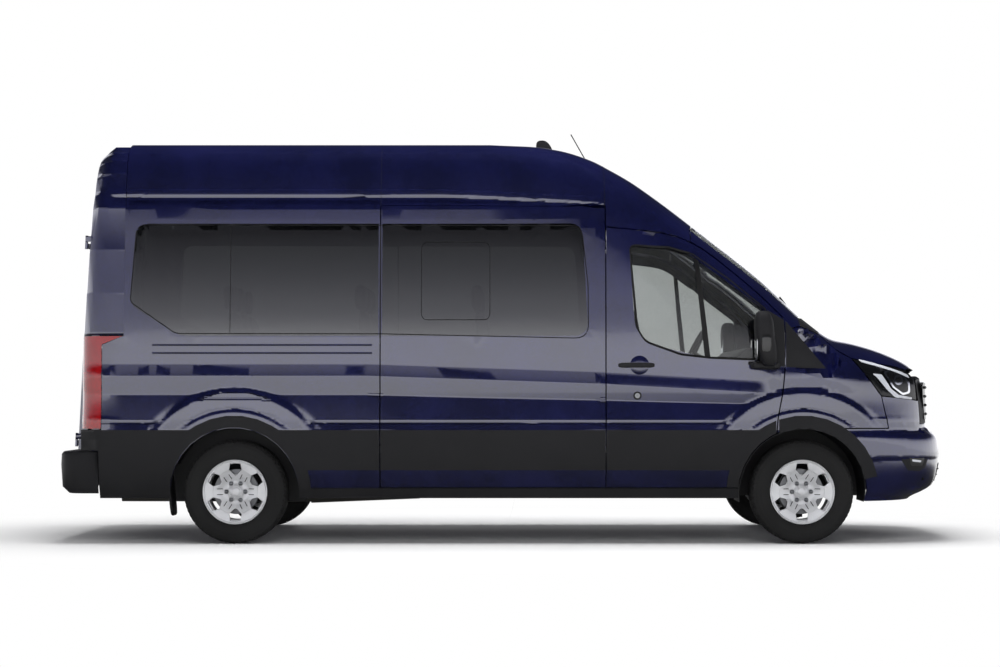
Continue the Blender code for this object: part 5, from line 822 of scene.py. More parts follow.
class MINIBUS_OT_mouldings(bpy.types.Operator):
    """Black mouldings, arch flares, sills, bumper and grille"""
    bl_idname = "minibus.mouldings"
    bl_label = "Black mouldings"

    def execute(self, context):
        plastic = "moulded_polypropylene"
        for hand, side in SIDES:
            heights = np.arange(0.32, 0.85, 0.03)
            skinned("lower_trim_" + hand, plastic, z_levels=heights, proud=0.010, detail=False, near=0.02)
            skinned("front_arch_" + hand, plastic, z_levels=heights, proud=0.010, detail=False, near=0.02)
            skinned("front_door_moulding_" + hand, plastic, z_levels=heights, proud=0.010, detail=False,
                    near=0.02)
        skinned("sliding_door_moulding", plastic, z_levels=heights, proud=0.010, detail=False, near=0.02)
        smoothed("rear_bumper", plastic)
        smoothed("cowl", plastic)
        for hand, side in SIDES:
            door = "front_door_" + hand
            grip = pillow((0.869, side * 1.012, HANDLE_Z), (0.119, 0.019, 0.0165), 5, (32, 16))
            piece("handle_" + hand, *grip, plastic, door)
            flush = side * float(side_curve(LOCK_Z / ROOF_Z)) * HALF_WIDTH
            ring = turned(((0.017, 0.004), (0.019, 0.006), (0.025, 0.005), (0.027, 0.001), (0.027, -0.006),
                           (0.017, -0.006)), 32, (LOCK_X, flush, LOCK_Z), side)
            piece("lock_ring_" + hand, *ring, "seal_rubber", door)
            barrel = turned(((0.0, 0.001), (0.006, 0.0015), (0.007, 0.006), (0.017, 0.006), (0.0175, -0.004),
                             (0.0, -0.004)), 32, (LOCK_X, flush, LOCK_Z), side)
            piece("lock_" + hand, *barrel, "zinc_steel", door)
            dome = turned(((0.0, 0.0085), (0.030, 0.0070), (0.052, 0.0030), (0.063, -0.0020),
                           (0.063, -0.0080), (0.0, -0.0080)), 40, (0.889, side * 1.0005, HANDLE_Z), side)
            piece("handle_boss_" + hand, *dome, "metallic_enamel", door)
            plate("sail_wing_" + hand, corners(WING_SAIL), side, plastic, 0.006, 0.003, step=0.03)
            plate("sail_door_" + hand, corners(DOOR_SAIL), side, plastic, 0.006, 0.003, door, 0.03)
            mirror(hand, side, door)
            flap = pillow((-2.212, side * 0.885, 0.325), (0.011, 0.088, 0.140), 7, (24, 14))
            flap[0][:, 0] += 0.10 * (0.325 - flap[0][:, 2])
            piece("mud_flap_" + hand, *flap, "seal_rubber", "vehicle")
            for name, low, high, y, foot in WHEEL_WELLS:
                well = corners(((low, foot, 0.02), (low, 0.72, 0.15), ((low + high) / 2, 0.92, 0.4),
                                (high, 0.72, 0.15), (high, foot, 0.02)))
                ends = [np.stack([well[:, 0], np.full(len(well), side * (y + thick)), well[:, 1]], -1)
                        for thick in (0, 0.004)]
                walls = prism_faces(len(well), True)
                piece(f"well_wall_{name}_{hand}", np.concatenate(ends), walls, "waxed_steel")
            for name, outline, material, thick, proud in FOG_LAMP_PARTS:
                layer = plate(f"{name}_{hand}", corners(outline), side, material, thick, proud, step=0.02)
            # the last layer is the lens itself
            for k, (x, z) in enumerate(((2.511, 0.581), (2.804, 0.421))):
                turns = np.arange(16) * math.pi / 8
                dot = [(x + 0.010 * math.cos(a), z + 0.010 * math.sin(a)) for a in turns]
                plate(f"sensor_{k}_{hand}", dot, side, "gloss_abs", 0.004, 0.002, step=0.02)
        nose_and_tail_trim(plastic)
        return {"FINISHED"}


HANDLE_Z, LOCK_X, LOCK_Z = 1.181, 0.875, 0.980
# The black triangles ahead of the door glass: outlines of (x, z, corner radius)
WING_SAIL = ((1.856, 1.478, 0.004), (2.122, 1.158, 0.006), (1.856, 1.168, 0.006))
DOOR_SAIL = ((1.732, 1.550, 0.01), (1.848, 1.480, 0.01), (1.848, 1.172, 0.006), (1.605, 1.180, 0.02),
             (1.606, 1.206, 0.01), (1.728, 1.210, 0.01))
# The walls that close each wheel well towards the middle: name, ends in x, distance out and lower edge
WHEEL_WELLS = (("front", 1.52, 2.44, 0.555, 0.30), ("rear", -2.235, -1.33, 0.735, 0.27))
# Each fog lamp's layers: outline of (x, z, corner radius), finish, thickness and how proud it lies
FOG_LAMP_PARTS = (
    ("fog_recess", ((2.6735, 0.613, 0.012), (2.840, 0.620, 0.012), (2.855, 0.598, 0.01), (2.811, 0.497, 0.02),
                    (2.768, 0.475, 0.02), (2.681, 0.482, 0.02), (2.630, 0.562, 0.02)),
     "moulded_polypropylene", 0.006, 0.004),
    ("fog_lamp", ((2.688, 0.576, 0.01), (2.811, 0.576, 0.01), (2.790, 0.511, 0.01), (2.700, 0.511, 0.01)),
     "gloss_abs", 0.004, 0.006),
    ("fog_light",
     ((2.708, 0.556, 0.004), (2.784, 0.548, 0.004), (2.776, 0.534, 0.004), (2.712, 0.542, 0.004)),
     "frosted_acrylic", 0.003, 0.008),
)


def mirror(hand, side, door):
    """The door mirror: a tall rounded housing that leans with the pillar, its foot, glass and side lamp."""
    centre = np.array((1.700, side * 1.120, 1.352))
    points, faces = pillow(centre, (0.062, 0.100, 0.182), 3.4, (40, 28))
    rise = (points[:, 2] - centre[2]) / 0.182
    points[:, 0] += -0.012 * rise - 0.018 * (rise < 0) * rise
    points[:, 1] -= side * 0.012 * rise
    shell = piece("mirror_shell_" + hand, points, faces, "moulded_polypropylene", door)
    foot = pillow((1.715, side * 1.045, 1.178), (0.095, 0.075, 0.026), 4, (32, 14))
    piece("mirror_foot_" + hand, *foot, "moulded_polypropylene", door)
    glass = pillow((1.6445, side * 1.114, 1.356), (0.004, 0.070, 0.140), 5, (32, 16))
    piece("mirror_glass_" + hand, *glass, "plated_reflector", door)
    lamp = pillow((1.700, side * 1.2165, 1.318), (0.030, 0.008, 0.058), 5, (24, 16))
    piece("mirror_lamp_" + hand, *lamp, "clear_polycarbonate", door)
    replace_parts(shell, "mirror_" + hand)


def nose_plate(name, outline, material, thick, proud, step=0.05):
    """A thin piece laid on the front face inside an outline of (y, z)."""
    def chart(y, z, out):
        return on_nose(np.stack([face_x(z), y, z], -1), out, False)
    return plate(name, outline, 1, material, thick, proud, "vehicle", step, chart)


def tail_plate(name, outline, material, thick, proud, body):
    """A thin piece laid on the rear doors inside an outline of (y, z)."""
    def chart(y, z, out):
        return on_tail(np.stack([0 * y, y, z], -1), out, False)
    return plate(name, outline, 1, material, thick, proud, body, 0.05, chart)


def nose_bar(name, half, z, radius, material, proud):
    """A bar carried across the front face at one height."""
    y = np.linspace(-half, half, 41)
    path, _ = on_nose(np.stack([face_x(z) + 0 * y, y, z + 0 * y], -1), proud, False)
    return piece(name, *tube(path, radius, 10), material, "vehicle")


def nose_and_tail_trim(plastic):
    """Grille bars, intake, blank plates, wipers, fin, stop lamp and handle: each laid on its own panel."""
    mouth = ((-0.66, 0.82, 0.02), (0.66, 0.82, 0.02), (0.70, 1.07, 0.04), (-0.70, 1.07, 0.04))
    nose_plate("grille_back", corners(mouth), "gloss_abs", 0.006, 0.003)
    for k, z in enumerate((0.855, 0.915, 0.975, 1.035)):
        nose_bar(f"grille_bar_{k}", 0.62 + 0.01 * k, z, 0.010, plastic, 0.002)
    nose_bar("grille_rim", 0.66, 1.072, 0.006, "plated_reflector", 0.003)
    intake = ((-0.46, 0.36, 0.03), (0.46, 0.36, 0.03), (0.60, 0.52, 0.04), (-0.60, 0.52, 0.04))
    nose_plate("intake", corners(intake), plastic, 0.006, 0.004)
    for k in range(3):
        nose_bar(f"intake_bar_{k}", 0.43 + 0.03 * k, 0.40 + 0.04 * k, 0.006, plastic, 0.004)
    blank = ((-0.26, -0.055), (0.26, -0.055), (0.26, 0.055), (-0.26, 0.055))
    front, rear = (corners([(y + across, z + up, 0.012) for y, z in blank])
                   for across, up in ((0, 0.640), (0.40, 1.03)))
    nose_plate("plate_front", front, "frosted_acrylic", 0.004, 0.012)
    tail_plate("plate_rear", rear, "frosted_acrylic", 0.004, 0.006, "rear_door_left")
    grip = pillow((REAR_FACE_X - 0.022, -0.075, 1.12), (0.016, 0.018, 0.10), 5, (20, 20))
    piece("rear_grip", *grip, plastic, "rear_door_right")
    stop = pillow((-2.752, 0.0, 2.605), (0.012, 0.15, 0.014), 5, (32, 10))
    piece("high_stop_lamp", *stop, "red_acrylic", "vehicle")
    fin = pillow((0.285, 0.0, 2.700), (0.056, 0.020, 0.088), 2.6, (36, 20))
    up = np.clip((fin[0][:, 2] - 2.68) / 0.10, 0, 1)
    fin[0][:, 0] -= 0.030 * up
    fin[0][:, 1] *= 1 - 0.75 * up
    piece("roof_fin", *fin, plastic, "vehicle")
    for hand, side in SIDES:
        y = np.linspace(0.10, 0.66, 9) if side > 0 else np.linspace(-0.52, 0.04, 9)
        x = 2.035 - 0.16 * (1 - (y - y[0]) / (y[-1] - y[0])) ** 1.5
        blade = np.stack([x, y, skin_z(x, y) + 0.010], -1)
        piece("wiper_" + hand, *tube(blade, 0.006, 8), "seal_rubber", "vehicle")
        arm = np.array([(at, over, float(skin_z(at, over)) + lift) for at, over, lift in
                        ((2.06, y[-1], 0.02), (2.00, y[6], 0.028), (x[4], y[4], 0.016))])
        piece("wiper_arm_" + hand, *tube(arm, (0.009, 0.007, 0.005), 8), plastic, "vehicle")


class MINIBUS_OT_glass(bpy.types.Operator):
    """Privacy glass, door glass and windscreen"""
    bl_idname = "minibus.glass"
    bl_label = "Glass"

    def execute(self, context):
        heights = np.arange(1.22, 2.11, 0.05)
        close = np.arange(-3.0, 3.0, 0.05)
        for hand, side in SIDES:
            door = "front_door_" + hand
            skinned("side_glass_" + hand, "privacy_glass", x_cuts=close, z_levels=heights, detail=False,
                    pane=True)
            skinned("front_door_glass_" + hand, "clear_glass_pane", x_cuts=close, z_levels=heights,
                    proud=-0.010, detail=False, pane=True)
            smoothed("rear_door_glass_" + hand, "privacy_glass")
            skin_line("window_seal_" + hand, corners(BAND_WINDOW), side, 0.0035, "seal_rubber", -0.001)
            gap = [(C_LINE_X, z) for z in np.arange(1.36, 2.115, 0.05)]
            skin_line("glass_gap_" + hand, gap, side, 0.006, "seal_rubber", -0.0035, closed=False)
            joint = [(-1.813, z) for z in np.arange(1.395, 2.111, 0.05)]
            skin_line("glass_joint_" + hand, joint, side, 0.002, "seal_rubber", 0.0005, closed=False)
            skin_line("door_glass_seal_" + hand, corners(DOOR_WINDOW), side, 0.0085, "seal_rubber", -0.006,
                      door)
            plate("divider_" + hand, DIVIDER, side, "seal_rubber", 0.008, -0.003, door)
        skin_line("opening_pane", corners(OPENING_PANE), -1, 0.0025, "seal_rubber", 0.0005)
        skinned("sliding_door_glass", "privacy_glass", x_cuts=close, z_levels=heights, detail=False,
                pane=True)
        skinned("windscreen", "clear_glass_pane", x_cuts=np.arange(1.2, 2.1, 0.04), y_step=0.06, proud=-0.001,
                detail=False, near=0.02, pane=True)
        return {"FINISHED"}


# Outlines on the flank as (x, z, corner radius), in metres
BAND_WINDOW = (
    (-2.437, 2.112, 0.07), (-2.474, 1.600, 0.05), (-2.172, 1.390, 0.09), (-0.820, 1.388, 0),
    (0.553, 1.358, 0.09), (0.551, 1.706, 0.5), (0.508, 2.106, 0.08),
)
DOOR_WINDOW = (
    (0.824, 1.978, 0.035), (1.088, 1.964, 0.10), (1.240, 1.924, 0.15), (1.483, 1.757, 0.3),
    (1.722, 1.557, 0.02), (1.728, 1.215, 0.02), (1.361, 1.230, 0.2), (1.163, 1.252, 0.2),
    (0.925, 1.338, 0.12), (0.874, 1.422, 0.1),
)
DIVIDER = ((1.252, 1.918), (1.282, 1.900), (1.357, 1.232), (1.320, 1.236))
OPENING_PANE = tuple((x, z, 0.044) for x, z in
                     ((-0.550, 1.995), (-0.098, 1.995), (-0.098, 1.481), (-0.550, 1.481)))


class MINIBUS_OT_wheels(bpy.types.Operator):
    """Six-window wheels with nuts and caps, treaded tyres and discs"""
    bl_idname = "minibus.wheels"
    bl_label = "Wheels"

    def execute(self, context):
        for hand, side in SIDES:
            for where, axle_x in (("front", FRONT_AXLE_X), ("rear", REAR_AXLE_X)):
                centre = (axle_x, side * HALF_TRACK, AXLE_Z)
                body = f"wheel_{where}_{hand}"
                tyre = make_tyre(where, hand, side, centre, body, context.scene.minibus_sizes.tread)
                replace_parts(tyre, f"tyre_{where}_{hand}")
                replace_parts(make_rim(where, hand, side, centre, body), f"rim_{where}_{hand}")
        return {"FINISHED"}


TYRE_PROFILE = (
    # radius and distance out from the wheel's middle plane: inner bead, round the tread, outer bead
    (0.212, -0.080), (0.216, -0.092), (0.240, -0.100), (0.270, -0.1065), (0.300, -0.1055), (0.322, -0.099),
    (0.334, -0.091), (0.340, -0.078), (0.3425, -0.040), (0.343, 0.0), (0.3425, 0.040), (0.340, 0.078),
    (0.334, 0.091), (0.322, 0.099), (0.300, 0.1055), (0.270, 0.1065), (0.240, 0.100), (0.216, 0.092),
    (0.212, 0.080), (0.209, 0.0),
)


TREAD_BLOCKS = 64


def make_tyre(where, hand, side, centre, body, tread):
    """A turned profile: grooves round it and slots across its shoulders are cut as steps in its radius."""
    outline = np.array(TYRE_PROFILE)
    length = np.concatenate([[0], np.cumsum(np.linalg.norm(np.diff(outline, axis=0), axis=1))])
    close, wide = np.linspace(length[6], length[12], 44), np.linspace(0, length[-2], 50)
    fine = np.unique(np.concatenate([length, close, wide]))
    radius, across = np.interp(fine, length, outline[:, 0]), np.interp(fine, length, outline[:, 1])
    steps = 256
    angle = np.linspace(0, 2 * math.pi, steps, endpoint=False)[:, None]
    r, w = np.broadcast_to(radius, (steps, len(fine))).copy(), np.broadcast_to(across, (steps, len(fine)))
    on_tread = (r > 0.326) & (np.abs(w) < 0.100)
    ribs = (np.abs(np.abs(w) - 0.026) < 0.0045) | (np.abs(np.abs(w) - 0.062) < 0.004)
    turns = angle * TREAD_BLOCKS / (2 * math.pi)
    phase = (turns + w * 9) % 1
    slots = (phase < 0.22) & (np.abs(w) > 0.066)
    sipes = ((turns - w * 14) % 1 < 0.13) & (np.abs(w) > 0.030) & (np.abs(w) < 0.058)
    r -= np.where(on_tread & (ribs | slots), tread, 0) + np.where(on_tread & sipes, tread * 0.6, 0)
    ring = (np.abs(r - 0.292) < 0.0012) | (np.abs(r - 0.236) < 0.0015)
    out = w + np.sign(w) * 0.0008 * ring * (np.abs(w) > 0.09)
    points = np.stack([
        centre[0] + r * np.cos(angle), centre[1] + side * out, centre[2] + r * np.sin(angle)], -1)
    faces = grid_faces(steps, len(fine), True, True)
    faces = faces if side > 0 else [f[::-1] for f in faces]
    return piece(f"tyre_{where}_{hand}_tread", points.reshape(-1, 3), faces, "tyre_rubber", body, 40)


# The wheel's six windows, nuts and spokes; the nuts' circle in metres
SPOKES, NUT_CIRCLE = 6, 0.0625


def make_rim(where, hand, side, centre, body):
    """The dish is turned, and six five-sided windows with rounded corners are cut through it."""
    dish = np.array([
        # radius and distance out: outer lip, flush face, break to the spokes, hub, then back inside
        (0.214, 0.100), (0.210, 0.1035), (0.206, 0.101), (0.204, 0.093), (0.200, 0.0885), (0.176, 0.086),
        (0.149, 0.0835), (0.1465, 0.079), (0.118, 0.069), (0.104, 0.062), (0.094, 0.056), (0.080, 0.052),
        (0.060, 0.051), (0.046, 0.054), (0.0405, 0.060), (0.0385, 0.040), (0.060, 0.034), (0.094, 0.034),
        (0.118, 0.050), (0.147, 0.058), (0.176, 0.060), (0.186, 0.056), (0.187, 0.0), (0.186, -0.070),
        (0.203, -0.090), (0.209, -0.0945), (0.214, -0.092), (0.205, -0.080), (0.197, -0.060), (0.195, 0.0),
        (0.201, 0.060), (0.207, 0.086),
    ])
    points, faces = turned(dish, 120, centre, side)
    rim = piece(f"rim_{where}_{hand}_dish", points, faces, "silver_wheel_enamel", body, 34)
    cutters, grooves = [], []
    for k in range(SPOKES):
        turn = math.pi / 2 + k * math.pi / 3
        shape = corners(((0.103, 0.0, 0.012), (0.146, 0.0425, 0.006), (0.193, 0.034, 0.006),
                         (0.193, -0.034, 0.006), (0.146, -0.0425, 0.006)), 4)
        ends = [np.stack([
            centre[0] + shape[:, 0] * math.cos(turn) - shape[:, 1] * math.sin(turn),
            np.full(len(shape), centre[1] + side * depth),
            centre[2] + shape[:, 0] * math.sin(turn) + shape[:, 1] * math.cos(turn),
        ], -1) for depth in (0.048, 0.13)]
        cutters.append((np.concatenate(ends), prism_faces(len(shape))))
    boolean(rim, joined(*cutters))
    around = [(centre[0] + NUT_CIRCLE * math.cos(a), centre[2] + NUT_CIRCLE * math.sin(a))
              for a in np.radians(np.arange(SPOKES) * 60)]
    bolts = [pillow((x, centre[1] + side * 0.056, z), (0.0135, 0.017, 0.0135), 2.6, (16, 10))
             for x, z in around]
    collar = ((0.0135, 0.047), (0.0175, 0.047), (0.0180, 0.0535), (0.0165, 0.0545), (0.0150, 0.0535))
    wells = [turned(collar, 20, (x, centre[1], z), side) for x, z in around]
    piece(f"nut_wells_{where}_{hand}", *joined(*wells), "silver_wheel_enamel", body)
    # Black strips of seal rubber along both edges of each spoke: painted shade where the spoke's face breaks
    for k in range(SPOKES):
        turn = k * math.pi / 3
        for way in (-1, 1):
            slot = corners(((0.080, 0.0165, 0.003), (0.122, 0.0165, 0.003), (0.122, 0.0215, 0.003),
                            (0.090, 0.0215, 0.003)), 3)[::way] * (1, way)
            flat = [np.stack([
                centre[0] + slot[:, 0] * math.cos(turn) - slot[:, 1] * math.sin(turn),
                centre[1] + side * (np.interp(slot[:, 0], (0.080, 0.122), (0.0525, 0.0712)) + lift),
                centre[2] + slot[:, 0] * math.sin(turn) + slot[:, 1] * math.cos(turn),
            ], -1) for lift in (-0.004, 0.0006)]
            grooves.append((np.concatenate(flat), prism_faces(len(slot))))
    piece(f"spoke_shade_strips_{where}_{hand}", *joined(*grooves), "seal_rubber", body)
    piece(f"nuts_{where}_{hand}", *joined(*bolts), "zinc_steel", body)
    cap = [(0.0, 0.072), (0.012, 0.0718), (0.022, 0.070), (0.029, 0.067), (0.031, 0.063), (0.040, 0.060),
           (0.040, 0.044), (0.0, 0.044)]
    piece(f"hub_cap_{where}_{hand}", *turned(cap, 48, centre, side), "silver_wheel_enamel", body)
    disc = [(0.050, 0.028), (0.148, 0.028), (0.150, 0.026), (0.150, 0.004), (0.050, 0.004)]
    piece(f"brake_disc_{where}_{hand}", *turned(disc, 64, centre, side), "machined_iron", body)
    return rim


def boolean(target, cutter):
    """Cuts a mesh out of a piece and rounds the cut's edges by 1.5 mm; the result is the piece's mesh."""
    data = bpy.data.meshes.new("cutter")
    data.from_pydata([tuple(p) for p in cutter[0]], [], cutter[1])
    bm = bmesh.new()
    bm.from_mesh(data)
    bmesh.ops.recalc_face_normals(bm, faces=bm.faces)
    bm.to_mesh(data)
    bm.free()
    tool = bpy.data.objects.new("cutter", data)
    bpy.context.scene.collection.objects.link(tool)
    cut = target.modifiers.new("cut", "BOOLEAN")
    cut.object, cut.operation, cut.solver = tool, "DIFFERENCE", "EXACT"
    edge = target.modifiers.new("edge", "BEVEL")
    edge.width, edge.segments, edge.limit_method, edge.angle_limit = 0.0015, 2, "ANGLE", math.radians(50)
    bpy.context.view_layer.update()
    graph = bpy.context.evaluated_depsgraph_get()
    done = bpy.data.meshes.new_from_object(target.evaluated_get(graph))
    target.modifiers.clear()
    target.data = done
    bpy.data.objects.remove(tool)
    done.shade_smooth()
    done.set_sharp_from_angle(angle=math.radians(36))


class MINIBUS_OT_lamps(bpy.types.Operator):
    """Headlamps and tail lamps"""
    bl_idname = "minibus.lamps"
    bl_label = "Lamps"

    def execute(self, context):
        for hand, side in SIDES:
            skinned("headlamp_" + hand, "gloss_abs", x_cuts=np.arange(2.3, 2.77, 0.03),
                    z_levels=np.arange(0.96, 1.23, 0.03), detail=False, near=0.02)
            for name, outline, finish_name, proud in HEADLAMP_PARTS:
                plate(f"{name}_{hand}", corners(outline), side, finish_name, 0.004, proud, step=0.02)
            skinned("tail_lamp_" + hand, ("red_acrylic", "smoked_acrylic", "frosted_acrylic"),
                    x_cuts=np.arange(-2.80, -2.52, 0.0125),
                    z_levels=(*np.arange(0.78, 1.37, 0.02), SMOKED_TOP_Z, RED_LOW_Z), y_step=0.02,
                    detail=False, near=0.02, split=tail_zone)
        return {"FINISHED"}


# What shows through each headlamp's cover: outline of (x, z, radius), finish and how proud it lies
HEADLAMP_PARTS = (
    ("day_light", ((2.347, 1.222, 0.003), (2.463, 1.195, 0.02), (2.640, 1.142, 0.02), (2.697, 1.118, 0.01),
                   (2.712, 1.096, 0.006), (2.600, 1.138, 0.02), (2.507, 1.166, 0.02), (2.369, 1.202, 0.004)),
     "frosted_acrylic", 0.002),
    ("day_light_foot", ((2.434, 1.126, 0.004), (2.500, 1.120, 0.01), (2.565, 1.026, 0.02),
                        (2.623, 0.984, 0.02), (2.726, 0.968, 0.006), (2.724, 0.954, 0.006),
                        (2.594, 0.968, 0.02), (2.536, 1.019, 0.02), (2.463, 1.104, 0.01)),
     "frosted_acrylic", 0.002),
    ("lamp_frame", ((2.507, 1.140, 0.02), (2.579, 1.155, 0.02), (2.666, 1.120, 0.02), (2.710, 1.062, 0.02),
                    (2.710, 0.997, 0.02), (2.652, 0.983, 0.02), (2.579, 1.033, 0.02)),
     "plated_reflector", 0.0015),
    ("lamp_well", ((2.526, 1.134, 0.02), (2.581, 1.142, 0.02), (2.656, 1.110, 0.02), (2.695, 1.057, 0.02),
                   (2.695, 1.006, 0.02), (2.654, 0.998, 0.02), (2.592, 1.038, 0.02)), "gloss_abs", 0.003),
    ("lamp_eye", tuple((2.620 + 0.034 * math.cos(a), 1.083 + 0.034 * math.sin(a), 0.0)
                       for a in np.linspace(0, 2 * math.pi, 24, endpoint=False)), "plated_reflector", 0.007),
    ("lamp_pupil", tuple((2.620 + 0.020 * math.cos(a), 1.083 + 0.020 * math.sin(a), 0.0)
                         for a in np.linspace(0, 2 * math.pi, 24, endpoint=False)), "gloss_abs", 0.0085),
)


SMOKED_TOP_Z, RED_LOW_Z = 0.915, 1.352


def tail_zone(place):
    """Which lens a place on the tail lamp lies in: smoked below, red at the upper corner, else frosted."""
    x, _, z = place
    if z < SMOKED_TOP_Z:
        return 1
    return 0 if z > 1.12 and x < -2.735 + 0.03 * (z - 1.12) / 0.25 or z > RED_LOW_Z else 2


class MINIBUS_OT_cab(bpy.types.Operator):
    """Seats and dashboard"""
    bl_idname = "minibus.cab"
    bl_label = "Cab and seats"

    def execute(self, context):
        smoothed("dashboard", "cab_plastic")
        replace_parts(seat_row("driver_seat", 0.86, (0.52,), 0.47, 0.98), "driver_seat")
        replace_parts(seat_row("front_bench", 0.86, (-0.62, -0.18), 0.43, 0.98), "passenger_bench")
        first = [seat_row(f"rear_seats_{k}", x, (-0.40, 0.0, 0.40), 0.38, 0.96)
                 for k, x in enumerate(PASSENGER_ROWS)][0]
        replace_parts(first, "passenger_seats")
        return {"FINISHED"}


PASSENGER_ROWS = (-0.15, -0.95, -1.85)


def seat_row(name, x, middles, width, height):
    """One row of seats: crowned cushions, leaning backs and head restraints on their posts; gives back its
    frame.
    """
    half = width / 2 - 0.008
    for k, y in enumerate(middles):
        seat = pillow((x + 0.25, y, height - 0.065), (0.235, half, 0.060), 4.5, (48, 24))
        seat[0][:, 2] += 0.014 * np.cos((seat[0][:, 1] - y) / half * 1.4) * (seat[0][:, 2] > height - 0.065)
        back = pillow((x + 0.07, y, height + 0.285), (0.048, half - 0.004, 0.305), 4.0, (40, 32))
        back[0][:, 0] -= 0.16 * (back[0][:, 2] - height)
        head = pillow((x - 0.045, y, height + 0.695), (0.042, 0.115, 0.085), 3.2, (32, 20))
        for part, shape in (("cushion", seat), ("back", back), ("head", head)):
            piece(f"{name}_{part}_{k}", *shape, "woven_polyester", "vehicle")
        posts = [tube(((x - 0.04, y + d, height + 0.55), (x - 0.045, y + d, height + 0.66)), 0.006, 8)
                 for d in (-0.05, 0.05)]
        piece(f"{name}_posts_{k}", *joined(*posts), "zinc_steel", "vehicle")
    middle, reach = sum(middles) / len(middles), (max(middles) - min(middles)) / 2 + 0.15
    base = pillow((x + 0.25, middle, 0.745), (0.17, reach, 0.135), 8, (32, 12))
    return piece(name + "_frame", *base, "cab_plastic", "vehicle")


class MINIBUS_OT_chassis(bpy.types.Operator):
    """Finishes for the underbody, axles and exhaust"""
    bl_idname = "minibus.chassis"
    bl_label = "Chassis"

    def execute(self, context):
        for material, names in (
            ("waxed_steel", ("underbody", "rear_axle", "engine", "front_subframe")),
            ("aluminised_steel", ("exhaust",)), ("machined_iron", ("knuckle_left", "knuckle_right")),
            ("seal_rubber", ("antenna",)), ("moulded_polypropylene", ("grille",)),
        ):
            for name in names:
                data = NODES[name].data
                data.materials.clear()
                data.materials.append(FINISHES[material])
        return {"FINISHED"}


# Fitted to the photo's wheel centres, roof and ground line: focal length, sensor and shifts; place in metres
CAMERA_LENS, CAMERA_PLACE = (72.25, 36, -0.0226, 0.060), (0.118, -14.23, 0.994)
FLOOR_HALF_SIZE = 60
# Distances from the van's middle between which the floor turns white: as seen, and in the paint's gloss,
# where the dark floor nearer in is a painted shadow
WHITE_FLOOR, WHITE_GLOSS = (1.5, 3.2), (2.6, 6.0)


class MINIBUS_OT_stage(bpy.types.Operator):
    """Pale floor, soft light and the camera"""
    bl_idname = "minibus.stage"
    bl_label = "Stage"

    def execute(self, context):
        scene = context.scene
        studio_floor(finish_look().floor)
        data = bpy.data.meshes.new("floor")
        size = FLOOR_HALF_SIZE
        square = [(-size, -size, 0), (size, -size, 0), (size, size, 0), (-size, size, 0)]
        data.from_pydata(square, [], [(0, 1, 2, 3)])
        data.materials.append(FINISHES["studio_floor"])
        floor = bpy.data.objects.new("floor", data)
        scene.collection.objects.link(floor)
        lens = bpy.data.cameras.new("camera")
        lens.lens, lens.sensor_width, lens.shift_x, lens.shift_y = CAMERA_LENS
        lens.clip_end = 200
        camera = bpy.data.objects.new("camera", lens)
        camera.location, camera.rotation_euler = CAMERA_PLACE, (math.pi / 2, 0, 0)
        scene.collection.objects.link(camera)
        scene.camera = camera
        for name, place, turn, size, power in (
            ("overhead", (0.0, -0.4, 8.0), (0, 0, 0), 6.0, 1050),
            ("near_side", (1.0, -9.5, 5.5), (60, 0, 4), 5.0, 260),
            ("far_side", (0.0, 9.5, 5.5), (-60, 0, 0), 5.0, 200),
        ):
            light = bpy.data.lights.new(name, "AREA")
            light.size, light.energy = size, power
            lamp = bpy.data.objects.new(name, light)
            lamp.location, lamp.rotation_euler = place, [math.radians(a) for a in turn]
            lamp.visible_glossy = lamp.visible_transmission = lamp.visible_camera = False
            scene.collection.objects.link(lamp)
        world = bpy.data.worlds.new("studio")
        world.use_nodes = True
        tree = world.node_tree
        tree.nodes.clear()
        where = node(tree, "ShaderNodeTexCoord").outputs["Generated"]
        height = node(tree, "ShaderNodeSeparateXYZ", {0: where}).outputs["Z"]
        share = node(tree, "ShaderNodeMapRange", {"Value": height, "From Min": SKY_LOW, "From Max": SKY_LOW + 1})
        ramp = node(tree, "ShaderNodeValToRGB", {"Fac": share.outputs[0]})
        while len(ramp.color_ramp.elements) < len(SKY_STOPS):
            ramp.color_ramp.elements.new(0.5)
        for element, (at, code) in zip(ramp.color_ramp.elements, SKY_STOPS):
            element.position, element.color = at, linear(code)
        glow = node(tree, "ShaderNodeBackground", {"Color": ramp.outputs["Color"], "Strength": SKY_STRENGTH})
        plain = node(tree, "ShaderNodeBackground", {"Color": linear("#ffffff"), "Strength": 1.0})
        path = node(tree, "ShaderNodeLightPath")
        seen = node(tree, "ShaderNodeMath", {0: path.outputs["Is Camera Ray"],
                                             1: path.outputs["Is Transmission Ray"]}, operation="MAXIMUM")
        mix = node(tree, "ShaderNodeMixShader", {0: seen.outputs[0], 1: glow.outputs[0], 2: plain.outputs[0]})
        node(tree, "ShaderNodeOutputWorld", {"Surface": mix.outputs[0]})
        scene.world = world
        scene.view_settings.view_transform = "Standard"
        return {"FINISHED"}


SKY_LOW, SKY_STRENGTH = -0.1, 1.55
# The studio's brightness by the sine of elevation, from under the horizon: a bright wall, then a dim ceiling
SKY_STOPS = ((0.0, "#ffffff"), (0.12, "#fafafc"), (0.215, "#e4e4ea"), (0.29, "#a2a2ac"), (0.325, "#8c8c98"),
             (0.37, "#26272d"), (0.44, "#1b1c20"), (1.0, "#222328"))


